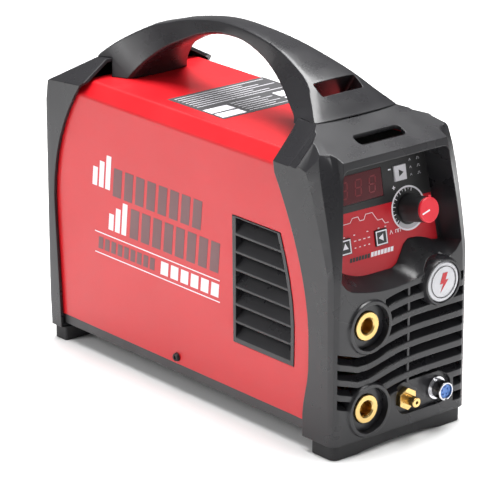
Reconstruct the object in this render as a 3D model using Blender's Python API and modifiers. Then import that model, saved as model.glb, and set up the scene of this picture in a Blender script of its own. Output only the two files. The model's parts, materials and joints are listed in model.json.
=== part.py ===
"""TIG welding inverter: a folded steel cover on a tray, plastic bezels, a carrying handle, a recessed
control panel, output sockets, gas path, fan and power electronics.

X runs across the machine, +Y from its front face to its rear, +Z up from the floor. The origin is at
the centre of the base. A depth is a distance behind the flat lower front face."""

from math import atan2, cos, exp, pi, radians, sin

import bmesh
import bpy
from mathutils import Matrix, Vector

MM = 0.001

# Overall sizes
BODY_HALF = 74 * MM
BODY_LENGTH = 386.5 * MM
FRONT_REACH = 12.5 * MM
REAR_REACH = 22 * MM
FLOOR_GAP = 12.4 * MM
COVER_TOP = 246.5 * MM
GAP = 0.3 * MM

# Where the flat lower front face stands, so that the base's centre is the origin
FRONT = (FRONT_REACH - REAR_REACH - BODY_LENGTH) / 2

# Sheet metal
SHEET = 1.2 * MM
COVER_HALF = 70.5 * MM
COVER_BOTTOM = 25 * MM
COVER_CHAMFER = 11 * MM
COVER_LAP = 8 * MM
TRAY_SHEET = 1.5 * MM
TRAY_HALF = COVER_HALF - SHEET - 0.4 * MM
TRAY_FLANGE_TOP = 45 * MM
TRAY_START = 14.5 * MM
TRAY_END = BODY_LENGTH - 13 * MM
SCREW_DEPTH = 205 * MM
SCREW_HEIGHT = 31 * MM
SCREW_HEAD = 4 * MM
SCREW_SHANK = 2 * MM
FRONT_SCREWS = 20 * MM
REAR_SCREWS = BODY_LENGTH - 15 * MM

# Plastic bezels
WALL = 3 * MM
VENT_WALL = 8 * MM
VISOR_TOP = COVER_TOP + 2.5 * MM
VISOR_LEAN = 10.2 * MM
LEAN_START = VISOR_TOP - 99 * MM
SADDLE_TOP = COVER_TOP + 21.7 * MM
SADDLE_HALF = 44 * MM
SADDLE_START = 56.7 * MM
SADDLE_END = 79.5 * MM
SEAM_DEPTH = 31 * MM
SEAM_SWEEP = 49 * MM
SEAM_LIMIT = 75.7 * MM
SEAM_FLARE = 7 * MM
HOOD_TOP = COVER_TOP + 15.5 * MM
HOOD_HALF = 42.5 * MM
HOOD_LIP = BODY_LENGTH - 51 * MM
HOOD_FLAT = 12.5 * MM
REAR_SEAM = BODY_LENGTH - 13.7 * MM
REAR_SWEEP = 41.5 * MM

# Front face
CREASE = LEAN_START - 13.5 * MM
SLOT_PITCH = 13.2 * MM
SLOT_HEIGHT = 8 * MM
SLOT_INNER = 4 * MM
SLOT_END = 69.3 * MM
SLOT_DIP = 9.4 * MM
SLOT_DIP_X = -43 * MM
SLOT_POINTS = 12
OPENING_HALF = 67.6 * MM
OPENING_TAPER = 0.1075
WEB_X = 7.4 * MM
WEB_WIDTH = 2.4 * MM
SOCKET_X = -35.2 * MM
LOW_SOCKET_Z = 36.7 * MM
HIGH_SOCKET_Z = CREASE - 27.7 * MM
RING_BASE = 24 * MM
RING_FACE = 22.3 * MM
RING_PROUD = 2 * MM
INSULATOR_RADIUS = 19.2 * MM
INSULATOR_DEPTH = 4.5 * MM
BRASS_DEPTH = 2.4 * MM
BRASS_RADIUS = 12.25 * MM
SOCKET_BORE = 6.6 * MM
SOCKET_THREAD = 10 * MM
GAS_X = 6.8 * MM
FITTINGS_Z = 36 * MM
REMOTE_X = 42.3 * MM
PAD_DEPTH = 3.5 * MM
PAD_HEIGHT = 27 * MM
PAD_START = GAS_X - 12.5 * MM
PAD_END = REMOTE_X + 14 * MM
GAS_HEX = 17 * MM
GAS_NIPPLE = 4.4 * MM
GAS_BORE = 1.4 * MM
GAS_THREAD = 5 * MM
REMOTE_FLANGE = 9.8 * MM
REMOTE_BARREL = 7.9 * MM
REMOTE_INSERT = 6.2 * MM
REMOTE_REACH = FRONT_REACH - 2.5 * MM
BADGE_X = 43.1 * MM
BADGE_Z = CREASE - 6.2 * MM
BADGE_RADIUS = 17.4 * MM
BADGE_BASE = 21.5 * MM
BADGE_FACE = 19.4 * MM
BADGE_PROUD = 3.4 * MM

# Control recess and panel: the panel leans back about its centre line
PANEL_DEPTH = 29 * MM
PANEL_Z = VISOR_TOP - 54 * MM
PANEL_LEAN = radians(10.5)
PANEL_SHEET = 2.5 * MM
RECESS_DRAFT = 0.16
RECESS_TOP = VISOR_TOP - 7.6 * MM
DIAL_X = 31 * MM
DIAL_Z = -6 * MM
KNOB_RADIUS = 12 * MM
KNOB_LENGTH = 22 * MM
CAP_RADIUS = 10.6 * MM
CAP_LENGTH = 2.6 * MM
SHAFT_RADIUS = 3 * MM
KEY_SIZE = 12.8 * MM
KEY_PROUD = 1.4 * MM
KEY_TRAVEL = 0.5 * MM
BOARD_SETBACK = 15 * MM
DISPLAY_WIDTH = 50 * MM
DISPLAY_HEIGHT = 23.5 * MM

# Side grilles
GRILLE_BASE = 67.5 * MM
GRILLE_TOP = COVER_TOP - 67.5 * MM
GRILLE_SETBACK = 21 * MM
GRILLE_REAR = 131 * MM
GRILLE_SLOTS = 7
GRILLE_FRAME = 4 * MM
GRILLE_DEPTH = 10 * MM
BLADE = 2 * MM

# Handle stations: depth, height above the cover and half width of its outer side, then of its inner
# side, from the front root over the arch to the rear root
HANDLE_STATIONS = (
    (54.5, 20.0, 45.5, 84.0, 17.0, 46.0),
    (60.5, 24.3, 42.7, 88.0, 21.5, 42.5),
    (71.4, 32.6, 35.6, 100.4, 24.0, 35.0),
    (90.4, 45.8, 25.7, 117.4, 31.5, 27.0),
    (117.1, 55.5, 19.1, 137.0, 41.2, 19.6),
    (147.0, 63.0, 14.4, 160.0, 50.6, 14.0),
    (184.4, 67.2, 11.5, 188.0, 58.4, 12.0),
    (222.0, 67.0, 10.6, 217.0, 58.3, 12.0),
    (262.0, 60.2, 10.8, 246.0, 51.0, 12.6),
    (290.0, 52.0, 12.8, 269.0, 40.5, 15.0),
    (308.0, 46.0, 15.6, 286.0, 31.5, 18.5),
    (333.4, 31.8, 26.5, 303.5, 16.6, 25.5),
    (347.4, 18.2, 41.0, 315.5, 1.5, 32.5),
    (355.0, 6.0, 48.0, 322.0, -13.0, 41.0),
)
HANDLE_STEPS = 3
HANDLE_CROWN = 2.2 * MM
HANDLE_BELLY = 3 * MM
STRAP_HALF = 22.4 * MM
STRAP_WIDTH = 15 * MM
VISOR_SLOT_WIDTH = 12.4 * MM

# Feet
FOOT_HALF = 71.5 * MM
FRONT_FOOT_START = 2 * MM
FRONT_FOOT_LENGTH = 30 * MM
REAR_FOOT_START = BODY_LENGTH - 24 * MM
REAR_FOOT_LENGTH = 16 * MM
FRONT_FOOT_CORNER = 6 * MM
REAR_FOOT_CORNER = 2 * MM
FOOT_ARCH = 3.2 * MM

# Rear fittings
FAN_HALF = 59.5 * MM
FAN_DEPTH = 25 * MM
FAN_Z = 108 * MM
FAN_BORE = 56 * MM
FAN_HUB = 20 * MM
FAN_BLADES = 7
FAN_START = BODY_LENGTH - 38.5 * MM
VENT_PITCH = 11 * MM
VENT_SLOT = 6 * MM
VENT_HALF = 48 * MM
SWITCH_X = -30 * MM
SWITCH_Z = COVER_TOP - 41.5 * MM
SWITCH_HALF = (14 * MM, 10.5 * MM)
GLAND_X = 32 * MM
GLAND_RADIUS = 8 * MM
GLAND_BORE = 4.6 * MM
INLET_X = 44 * MM
INLET_Z = 31 * MM
INLET_RADIUS = 5 * MM

# Electronics
BOARD = 1.6 * MM
BOARD_Z = 28 * MM
BOARD_HALF = 59 * MM
BOARD_START = 80 * MM
BOARD_END = BODY_LENGTH - 76 * MM
SINK_HEIGHT = 62 * MM
SINK_WIDTH = 38 * MM
SINK_START = 156 * MM
SINK_LENGTH = 96 * MM
FIN_PITCH = 5 * MM
FIN = 1.6 * MM
CAPACITOR_RADIUS = 13 * MM
CAPACITOR_HEIGHT = 45 * MM
CAPACITORS = 3
HOSE_RADIUS = 3 * MM


def clear_scene():
    for old in list(bpy.data.objects):
        bpy.data.objects.remove(old, do_unlink=True)


def new_collection(name):
    made = bpy.data.collections.new(name)
    bpy.context.scene.collection.children.link(made)
    return made


def new_material(name, colour, roughness, metallic=0.0):
    made = bpy.data.materials.new(name)
    made.use_nodes = True
    shader = made.node_tree.nodes["Principled BSDF"]
    shader.inputs["Base Color"].default_value = (*colour, 1)
    shader.inputs["Roughness"].default_value = roughness
    shader.inputs["Metallic"].default_value = metallic
    made.diffuse_color = (*colour, 1)
    return made


clear_scene()
PARTS = new_collection("tig_welder")
CUTTERS = new_collection("cutters")
CUTTERS.hide_render = True

RED_PAINT = new_material("red_paint", (0.70, 0.02, 0.03), 0.3)
DARK_PAINT = new_material("dark_paint", (0.05, 0.05, 0.055), 0.5)
BLACK_PLASTIC = new_material("black_plastic", (0.07, 0.065, 0.075), 0.45)
KNOB_PLASTIC = new_material("knob_plastic", (0.03, 0.03, 0.03), 0.4)
RED_PLASTIC = new_material("red_plastic", (0.75, 0.03, 0.04), 0.35)
LIGHT_PLASTIC = new_material("light_plastic", (0.7, 0.7, 0.7), 0.4)
BLUE_PLASTIC = new_material("blue_plastic", (0.12, 0.25, 0.6), 0.4)
RUBBER = new_material("rubber", (0.04, 0.04, 0.04), 0.8)
WINDOW = new_material("window", (0.12, 0.01, 0.015), 0.1)
BRASS = new_material("brass", (0.85, 0.62, 0.25), 0.3, 1.0)
CHROME = new_material("chrome", (0.8, 0.8, 0.82), 0.15, 1.0)
STEEL = new_material("steel", (0.35, 0.35, 0.36), 0.4, 1.0)
ALUMINIUM = new_material("aluminium", (0.75, 0.75, 0.77), 0.4, 1.0)
COPPER = new_material("copper", (0.8, 0.4, 0.25), 0.35, 1.0)
FERRITE = new_material("ferrite", (0.09, 0.09, 0.1), 0.7)
CIRCUIT = new_material("circuit", (0.02, 0.2, 0.08), 0.5)


def y_at(depth):
    """The Y of a place this far behind the flat lower front face."""
    return FRONT + depth


def put(name, mesh, colour=None, at=(0, 0, 0), turn=None, parent=None, smooth=True):
    """Make an object: a named part where a colour is given, and otherwise a tool for cutting."""
    obj = bpy.data.objects.new(name, mesh)
    obj.location = at
    if turn is not None:
        obj.rotation_euler = turn
    if colour is None:
        CUTTERS.objects.link(obj)
        obj.hide_render = True
        obj.display_type = "WIRE"
    else:
        PARTS.objects.link(obj)
        mesh.materials.clear()
        mesh.materials.append(colour)
    obj.parent = parent
    if smooth:
        mesh.shade_smooth()
        mesh.set_sharp_from_angle(angle=radians(32))
    return obj


def mesh_from(name, solid):
    mesh = bpy.data.meshes.new(name)
    bmesh.ops.recalc_face_normals(solid, faces=solid.faces)
    solid.to_mesh(mesh)
    solid.free()
    return mesh


def box(name, x, y, z, colour=None, parent=None, turn=None):
    """A block between two values on each axis, with its origin at its centre."""
    solid = bmesh.new()
    size = Vector((x[1] - x[0], y[1] - y[0], z[1] - z[0]))
    bmesh.ops.create_cube(solid, size=1, matrix=Matrix.Diagonal((*size, 1)))
    centre = [(low + high) / 2 for low, high in (x, y, z)]
    return put(name, mesh_from(name, solid), colour, centre, turn, parent, smooth=False)


def rod(name, start, end, radius, colour=None, sides=24, parent=None, tip=None):
    """A cylinder, or a cone where a tip radius is given, with its origin at its start."""
    start, end = Vector(start), Vector(end)
    along = end - start
    solid = bmesh.new()
    bmesh.ops.create_cone(
        solid, cap_ends=True, segments=sides, radius1=radius,
        radius2=radius if tip is None else tip, depth=along.length,
        matrix=Matrix.Translation((0, 0, along.length / 2)),
    )
    turn = along.to_track_quat("Z", "Y").to_euler()
    return put(name, mesh_from(name, solid), colour, start, turn, parent)


AXIS_TURN = {
    "X": Matrix(((0, 0, 1), (1, 0, 0), (0, 1, 0))),
    "Y": Matrix(((1, 0, 0), (0, 0, -1), (0, 1, 0))),
    "Z": Matrix.Identity(3),
}


def prism(name, outline, axis, low, high, colour=None, parent=None):
    """A flat outline given thickness along an axis: (y, z) points for X, (x, z) for Y and (x, y) for Z."""
    curve = bpy.data.curves.new(name, "CURVE")
    curve.dimensions = "2D"
    curve.fill_mode = "BOTH"
    curve.extrude = (high - low) / 2
    curve.resolution_u = 1
    curve.render_resolution_u = 0
    spline = curve.splines.new("POLY")
    spline.points.add(len(outline) - 1)
    for point, (a, b) in zip(spline.points, outline):
        point.co = (a, b, 0, 1)
    spline.use_cyclic_u = True
    holder = bpy.data.objects.new(name + "_outline", curve)
    CUTTERS.objects.link(holder)
    ready = holder.evaluated_get(bpy.context.evaluated_depsgraph_get())
    mesh = bpy.data.meshes.new_from_object(ready)
    bpy.data.objects.remove(holder, do_unlink=True)
    bpy.data.curves.remove(curve)
    solid = bmesh.new()
    solid.from_mesh(mesh)
    bmesh.ops.remove_doubles(solid, verts=solid.verts, dist=0.001 * MM)
    bmesh.ops.dissolve_limit(solid, angle_limit=radians(0.05), verts=solid.verts, edges=solid.edges)
    bpy.data.meshes.remove(mesh)
    middle = (low + high) / 2
    at = {"X": (middle, 0, 0), "Y": (0, middle, 0), "Z": (0, 0, middle)}[axis]
    turn = AXIS_TURN[axis].to_euler()
    return put(name, mesh_from(name, solid), colour, at, turn, parent)


def loft(name, rings, colour=None, at=(0, 0, 0), turn=None, parent=None):
    """A closed skin over rings of equal point counts, capped at both ends."""
    solid = bmesh.new()
    rows = [[solid.verts.new(point) for point in ring] for ring in rings]
    count = len(rows[0])
    for row, following in zip(rows, rows[1:]):
        for i in range(count):
            j = (i + 1) % count
            solid.faces.new((row[i], row[j], following[j], following[i]))
    solid.faces.new(rows[0][::-1])
    solid.faces.new(rows[-1])
    bmesh.ops.triangulate(solid, faces=[f for f in solid.faces if len(f.verts) == 4])
    return put(name, mesh_from(name, solid), colour, at, turn, parent)


def turned(name, profile, at, colour=None, sides=32, parent=None):
    """A profile of (radius, distance) pairs spun about Y. One that starts at radius 0 is solid, and
    any other closes on itself round a bore."""
    mesh = bpy.data.meshes.new(name)
    points = [(radius, distance, 0) for radius, distance in profile]
    edges = [(i, i + 1) for i in range(len(points) - 1)]
    if profile[0][0] > 0:
        edges.append((len(points) - 1, 0))
    mesh.from_pydata(points, edges, [])
    obj = put(name, mesh, colour, at, parent=parent, smooth=False)
    spin = obj.modifiers.new("spin", "SCREW")
    spin.axis = "Y"
    spin.steps = spin.render_steps = sides
    spin.use_merge_vertices = True
    spin.merge_threshold = 0.001 * MM
    spin.use_normal_calculate = True
    ready = obj.evaluated_get(bpy.context.evaluated_depsgraph_get())
    spun = bpy.data.meshes.new_from_object(ready)
    obj.modifiers.clear()
    solid = bmesh.new()
    solid.from_mesh(spun)
    bpy.data.meshes.remove(spun)
    bmesh.ops.recalc_face_normals(solid, faces=solid.faces)
    if solid.calc_volume(signed=True) < 0:
        bmesh.ops.reverse_faces(solid, faces=solid.faces)
    solid.to_mesh(mesh)
    solid.free()
    if colour is not None and not mesh.materials:
        mesh.materials.append(colour)
    mesh.shade_smooth()
    mesh.set_sharp_from_angle(angle=radians(32))
    return obj


def shape(obj, operation, *tools):
    for tool in tools:
        step = obj.modifiers.new(tool.name, "BOOLEAN")
        step.operation = operation
        step.object = tool
    return obj


def cut(obj, *tools):
    return shape(obj, "DIFFERENCE", *tools)


def join(obj, *tools):
    return shape(obj, "UNION", *tools)


def circle(x, y, radius, count, start=0.0, sweep=2 * pi):
    """Points round an arc; a full turn leaves its last point out."""
    steps = count if sweep >= 2 * pi else count - 1
    angles = [start + sweep * i / steps for i in range(count)]
    return [(x + radius * cos(a), y + radius * sin(a)) for a in angles]


def rounded(x0, x1, y0, y1, radius, steps=4):
    """A rectangle with round corners."""
    corners = ((x1, y1, 0), (x0, y1, 1), (x0, y0, 2), (x1, y0, 3))
    points = []
    for x, y, quarter in corners:
        cx = x - radius if x == x1 else x + radius
        cy = y - radius if y == y1 else y + radius
        points += circle(cx, cy, radius, steps + 1, quarter * pi / 2, pi / 2)
    return points


def hexagon(x, y, across_flats):
    return circle(x, y, across_flats / 3 ** 0.5, 6, pi / 6)


def spread(low, high, count):
    return [low + (high - low) * i / (count - 1) for i in range(count)]


# ---- Shared shapes of the bezels and the cover ----

def front_seam(z):
    """Depth of the front bezel's rear edge: it sweeps back towards the top and flares at the foot."""
    base = SEAM_DEPTH + 69 * MM
    if z >= base:
        rise = min((z - base) / (COVER_TOP - 6.5 * MM - base), 1)
        sweep = SEAM_DEPTH + SEAM_SWEEP * rise ** 1.75
        return min(sweep, SEAM_LIMIT - 0.25 * max(SEAM_LIMIT - sweep, 0))
    fall = min(max((75 * MM - z) / (45 * MM), 0), 1)
    return SEAM_DEPTH + SEAM_FLARE * fall * fall * (3 - 2 * fall)


def rear_seam(z):
    """Depth of the rear bezel's front edge: it sweeps forward under the hood."""
    waist = 130 * MM
    if z <= waist:
        return REAR_SEAM - 0.058 * (waist - z)
    rise = min((z - waist) / (COVER_TOP - waist), 1)
    return REAR_SEAM - REAR_SWEEP * rise ** 2.2


def front_depth(z):
    """Depth of the front face: upright below, leaning back up to the visor."""
    rise = max((z - LEAN_START) / (VISOR_TOP - LEAN_START), 0)
    return VISOR_LEAN * rise ** 1.5


def plane_block(name, a, b, c, outward):
    """A large block whose one face lies on the plane through three points, on the outward side."""
    a, b, c = Vector(a), Vector(b), Vector(c)
    normal = (b - a).cross(c - a).normalized()
    if normal.dot(Vector(outward)) < 0:
        normal.negate()
    size = 0.4
    solid = bmesh.new()
    bmesh.ops.create_cube(solid, size=size, matrix=Matrix.Translation((0, 0, size / 2)))
    turn = normal.to_track_quat("Z", "Y").to_euler()
    return put(name, mesh_from(name, solid), None, a, turn)


def opening_half(z):
    """Half width of the control recess's opening: it narrows towards the visor."""
    return OPENING_HALF - OPENING_TAPER * max(z - LEAN_START, 0)


def saddle_slope(depth):
    """Height of the bezel's top: a slope up from the visor, then the level saddle."""
    slope = (SADDLE_TOP - VISOR_TOP) / (SADDLE_START - VISOR_LEAN)
    return min(VISOR_TOP + slope * (depth - VISOR_LEAN), SADDLE_TOP)


def front_shoulder(side, inset, name):
    """What lies outside the curved facet between the side and the top: it starts at the visor's
    corner and widens to the saddle's edge."""
    low = COVER_TOP - 7.1 * MM
    sections = []
    for depth, out, foot in ((12, 72.5, 12), (22, 70.5, 9), (36, 63.5, 0), (48, 52, 0), (57, 44.3, 0),
                             (110, 44, 0)):
        shift = Vector((0.65, 0.74)) * inset
        top = Vector((out * MM, saddle_slope(depth * MM))) - shift
        bottom = Vector((BODY_HALF, low + foot * MM)) - shift
        over, under = top + (top - bottom) * 0.5, bottom + (bottom - top) * 0.2
        corners = (over, Vector((over.x, 0.4)), Vector((0.2, 0.4)), Vector((0.2, under.y)), under)
        sections.append([(side * c.x, y_at(depth * MM), c.y) for c in corners])
    return loft(name, sections)


def rear_shoulder(side, inset, name):
    rise = Vector((0.49 * side, 0, 0.87)) * inset
    a = Vector((side * BODY_HALF, y_at(HOOD_LIP - 4.5 * MM), COVER_TOP - 1.7 * MM)) - rise
    b = Vector((side * HOOD_HALF, y_at(HOOD_LIP), HOOD_TOP)) - rise
    c = Vector((side * BODY_HALF, y_at(BODY_LENGTH - 12.5 * MM), COVER_TOP - 5.5 * MM)) - rise
    return plane_block(name, a, b, c, (side, 0, 1))


def pillar_section(z, side, inset):
    """What lies outside a front corner at one height: a small round at the foot, and beside the recess
    a slim pillar whose front is hollowed towards the visor."""
    rise = max((z - LEAN_START) / (VISOR_TOP - LEAN_START), 0)
    start = Vector((BODY_HALF, 7 * MM + 31 * MM * rise ** 1.2))
    nose = Vector((BODY_HALF - (1.7 - rise ** 2 + 2.3 * rise ** 8) * MM, 2 * MM + 21 * MM * rise ** 1.3))
    end = Vector((opening_half(z) - 0.6 * MM, front_depth(z) - 0.05 * MM))
    line = [start + (start - nose) * 0.5, nose]
    for share, hollow in ((0.35, 2.2 * MM), (0.7, 5.6 * MM), (0.93, 5.5 * MM)):
        line.append(nose.lerp(end, share) + Vector((0, hollow * rise ** 6)))
    line.append(end)
    line = [p + Vector((-0.7, 0.75)) * inset for p in line]
    line += [Vector((line[-1].x, -0.03)), Vector((0.2, -0.03)), Vector((0.2, line[0].y))]
    return [(side * p.x, y_at(p.y), z) for p in line]


def pillar_space(side, inset, name):
    heights = [0, LEAN_START - 30 * MM, LEAN_START, LEAN_START + 9 * MM]
    heights += spread(LEAN_START + 20 * MM, VISOR_TOP + 3 * MM, 7) + [VISOR_TOP + 30 * MM]
    return loft(name, [pillar_section(z, side, inset) for z in heights])


# ---- Front bezel ----

def front_outline(inset, floor, back):
    """Side view of the front bezel, (y, z), drawn in by a wall thickness for the hollow inside it."""
    heights = [floor] + spread(LEAN_START, VISOR_TOP - inset, 8)
    face = [(y_at(front_depth(z) + inset), z) for z in heights]
    slope = atan2(SADDLE_TOP - VISOR_TOP, SADDLE_START - VISOR_LEAN)
    face[-1] = (y_at(VISOR_LEAN + inset), VISOR_TOP - inset * 0.7)
    saddle = (y_at(SADDLE_START + inset * sin(slope)), SADDLE_TOP - inset)
    return face + [saddle, (y_at(back), SADDLE_TOP - inset)]


def bezel_shell():
    tops = spread(COVER_TOP - 6.5 * MM, FLOOR_GAP, 24)
    outline = front_outline(0, FLOOR_GAP, SADDLE_END)
    outline.append((y_at(SEAM_LIMIT + 1.5 * MM), SADDLE_TOP - 7.7 * MM))
    outline += [(y_at(front_seam(z)), z) for z in tops]
    shell = prism("front_bezel", outline, "X", -BODY_HALF, BODY_HALF, BLACK_PLASTIC)
    for side in (-1, 1):
        cut(shell, front_shoulder(side, 0, f"shoulder_{side}"), pillar_space(side, 0, f"pillar_{side}"))
    return shell


def bezel_hollow():
    """The space inside the front bezel, kept off the walls of the control recess."""
    floor = FLOOR_GAP + WALL
    vent_top = CREASE - 3 * MM
    back = y_at(0.12)
    outline = [(y_at(VENT_WALL), floor), (y_at(VENT_WALL), vent_top), (y_at(WALL), vent_top + MM)]
    outline += front_outline(WALL, vent_top + 2 * MM, SADDLE_END)[1:-1]
    outline += [(back, SADDLE_TOP - WALL), (back, floor)]
    hollow = prism("hollow", outline, "X", WALL - BODY_HALF, BODY_HALF - WALL)
    for side in (-1, 1):
        cut(hollow, front_shoulder(side, WALL, f"inner_shoulder_{side}"),
            pillar_space(side, WALL, f"inner_pillar_{side}"))
    return cut(hollow, recess_body("recess_block", WALL, True))


def crease_height(x):
    """Height of the line where the recess's floor meets the front face."""
    return CREASE + (x + 10 * MM) ** 2 / (300 * MM)


def recess_floor(x):
    """Height of the recess's floor at the panel: it rises in a hump on the right."""
    hump = min(max((x - 6 * MM) / (20 * MM), 0), 1)
    right, left = max(x - 33 * MM, 0) / (20 * MM), max(-20 * MM - x, 0) / (25 * MM)
    return CREASE + (8.8 + 16.5 * hump * hump * (3 - 2 * hump) - 4 * right ** 2 + 5.5 * min(left,
            1.4) ** 2) * MM


def recess_ring(depth, grow):
    """The recess's outline at one depth: drafted sides and a floor that climbs towards the panel."""
    def half(z):
        return opening_half(z) - RECESS_DRAFT * (depth - front_depth(z)) + grow

    top = RECESS_TOP + 0.12 * depth + grow
    radius = 6 * MM
    right = circle(half(top) - radius, top - radius, radius, 5, 0, pi / 2)
    left = [(-x, z) for x, z in reversed(right)]
    wide = half(LEAN_START + 12 * MM)
    floor = []
    for x in spread(-wide, wide, 25):
        climb = (recess_floor(x) - crease_height(x)) * depth / (20 * MM) - grow
        near_wall = max(abs(x) - (wide - 2 * radius), 0) / (2 * radius)
        floor.append((x, crease_height(x) + climb + 6 * MM * near_wall ** 2))
    return [(x, y_at(depth), z) for x, z in right + left + floor]


def recess_body(name, grow, trimmed):
    body = loft(name, [recess_ring(depth * MM, grow) for depth in (-8, 2, 12, 22, 33, 48)])
    if trimmed:
        behind = panel_box("behind_" + name, (-0.2, 0.2), (-GAP, 0.3), (-0.3, 0.3))
        cut(body, behind)
    return body


def slot_height(x):
    """How far a vent slot drops between the two sockets."""
    width = 33 * MM if x > SLOT_DIP_X else 20 * MM
    return -SLOT_DIP * exp(-((x - SLOT_DIP_X) / width) ** 2)


def slot(name, z, start, end):
    """A louvre: a bowed slot whose floor climbs inwards."""
    count = max(int(SLOT_POINTS * (end - start) / (2 * SLOT_END)) + 2, 2)
    xs = spread(start, end, count)
    rings = []
    for depth, height in ((-MM, SLOT_HEIGHT + 0.5 * MM), (VENT_WALL + MM, SLOT_INNER - 0.5 * MM)):
        top = [(x, y_at(depth), z + slot_height(x)) for x in xs]
        bottom = [(x, y_at(depth), z + slot_height(x) - height) for x in reversed(xs)]
        rings.append(top + bottom)
    return loft(name, rings)


def vent_slots():
    """Louvres from the crease down to the base; the lowest ones are short, beside the fittings."""
    made = []
    top = CREASE - 2.5 * MM
    count = int((top - FLOOR_GAP - SLOT_HEIGHT) / SLOT_PITCH) + 1
    for i in range(count):
        z = top - i * SLOT_PITCH
        beside_high = z > HIGH_SOCKET_Z - 12 * MM
        if z - SLOT_HEIGHT < FITTINGS_Z + PAD_HEIGHT / 2 - 6 * MM:
            start = PAD_END + 3 * MM
        elif beside_high:
            start = SOCKET_X + RING_BASE * 0.7
        else:
            start = -SLOT_END
        end = SLOT_END
        if abs(z - SLOT_HEIGHT / 2 - BADGE_Z) < 7 * MM and z > BADGE_Z:
            made.append(slot(f"slot_{i}_right", z, BADGE_X + BADGE_BASE * 0.9, end))
            end = BADGE_X
        made.append(slot(f"slot_{i}", z, start, end))
    return made


def boss(name, x, z, base, face, proud):
    """A round boss on the front face, its flank drafted towards a flat face."""
    inner = VENT_WALL - 0.5 * MM
    profile = [(0, y_at(-proud)), (face, y_at(-proud)), (base, y_at(1.5 * MM)), (base, y_at(inner)),
               (0, y_at(inner))]
    return turned(name, profile, (x, 0, z), sides=44)


def front_bosses():
    """Raised rings on the front face, the plate of the two fittings and the upright web that ties the
    louvres together."""
    inner = y_at(VENT_WALL - 0.5 * MM)
    bosses = [boss("low_ring", SOCKET_X, LOW_SOCKET_Z, RING_BASE, RING_FACE, RING_PROUD),
              boss("high_ring", SOCKET_X, HIGH_SOCKET_Z, RING_BASE, RING_FACE, RING_PROUD)]
    bosses.append(prism("fittings_pad", pad_outline(0.5 * MM), "Y", y_at(PAD_DEPTH - 0.5 * MM), inner))
    bosses.append(box("web", (WEB_X, WEB_X + WEB_WIDTH), (y_at(MM), inner),
                      (FITTINGS_Z + 5 * MM, CREASE - 2 * MM)))
    return bosses


def pad_outline(grow):
    """Outline of the sunk plate that carries the gas outlet and the remote connector."""
    half = PAD_HEIGHT / 2 + grow
    return rounded(PAD_START - grow, PAD_END + grow, FITTINGS_Z - half, FITTINGS_Z + half,
                   half - 0.5 * MM, 7)


def front_holes():
    holes = []
    for i, z in enumerate((LOW_SOCKET_Z, HIGH_SOCKET_Z)):
        holes.append(rod(f"socket_hole_{i}", (SOCKET_X, y_at(-0.02), z), (SOCKET_X, y_at(0.02), z),
                         INSULATOR_RADIUS + GAP, sides=48))
    holes.append(rod("badge_seat", (BADGE_X, y_at(-0.02), BADGE_Z), (BADGE_X, y_at(0), BADGE_Z),
                     BADGE_RADIUS + GAP, sides=40))
    holes.append(rod("gas_hole", (GAS_X, y_at(-0.02), FITTINGS_Z), (GAS_X, y_at(0.02), FITTINGS_Z),
                     GAS_THREAD + GAP, sides=24))
    holes.append(rod("remote_hole", (REMOTE_X, y_at(-0.02), FITTINGS_Z),
                     (REMOTE_X, y_at(0.02), FITTINGS_Z), REMOTE_BARREL + GAP, sides=32))
    holes.append(prism("pad_sinking", pad_outline(0), "Y", y_at(-0.02), y_at(PAD_DEPTH)))
    strap = rounded(-STRAP_HALF - 3 * MM, STRAP_HALF + 3 * MM, y_at(24 * MM),
                    y_at(24 * MM + VISOR_SLOT_WIDTH), 4.5 * MM, 5)
    holes.append(prism("strap_slot", strap, "Z", VISOR_TOP + 2.6 * MM, SADDLE_TOP + 0.02))
    for side in (-1, 1):
        holes.append(rod(f"tray_hole_{side}", (side * 40 * MM, y_at(FRONT_SCREWS), 0),
                         (side * 40 * MM, y_at(FRONT_SCREWS), 30 * MM), SCREW_SHANK + 0.4 * MM, sides=16))
    return holes


def make_front_bezel():
    shell = bezel_shell()
    cut(shell, bezel_hollow())
    cut(shell, *vent_slots())
    join(shell, *front_bosses())
    cut(shell, recess_body("recess", 0, False))
    join(shell, boss("badge_ring", BADGE_X, BADGE_Z, BADGE_BASE, BADGE_FACE, BADGE_PROUD))
    cut(shell, *front_holes())
    return shell


# ---- Rear bezel ----

def rear_face(z):
    """Depth of the rear face: a slight bow, tucked in towards the foot and the top."""
    middle = 165 * MM
    if z < middle:
        return BODY_LENGTH - 6.5 * MM * ((middle - z) / (150 * MM)) ** 2
    return BODY_LENGTH - 8 * MM * ((z - middle) / (COVER_TOP - 6.5 * MM - middle)) ** 2.2


def rear_clear(z, reach):
    """Where a flat fitting of this reach can stand against the bowed rear face."""
    return y_at(max(rear_face(z - reach), rear_face(z + reach))) + GAP


def rear_outline(inset, floor):
    top = COVER_TOP - 7 * MM
    face = [(y_at(rear_face(z) - inset), z) for z in spread(floor, top - inset, 12)]
    hood = [(y_at(HOOD_LIP + HOOD_FLAT - inset * 0.3), HOOD_TOP - inset)]
    return face + hood


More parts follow.
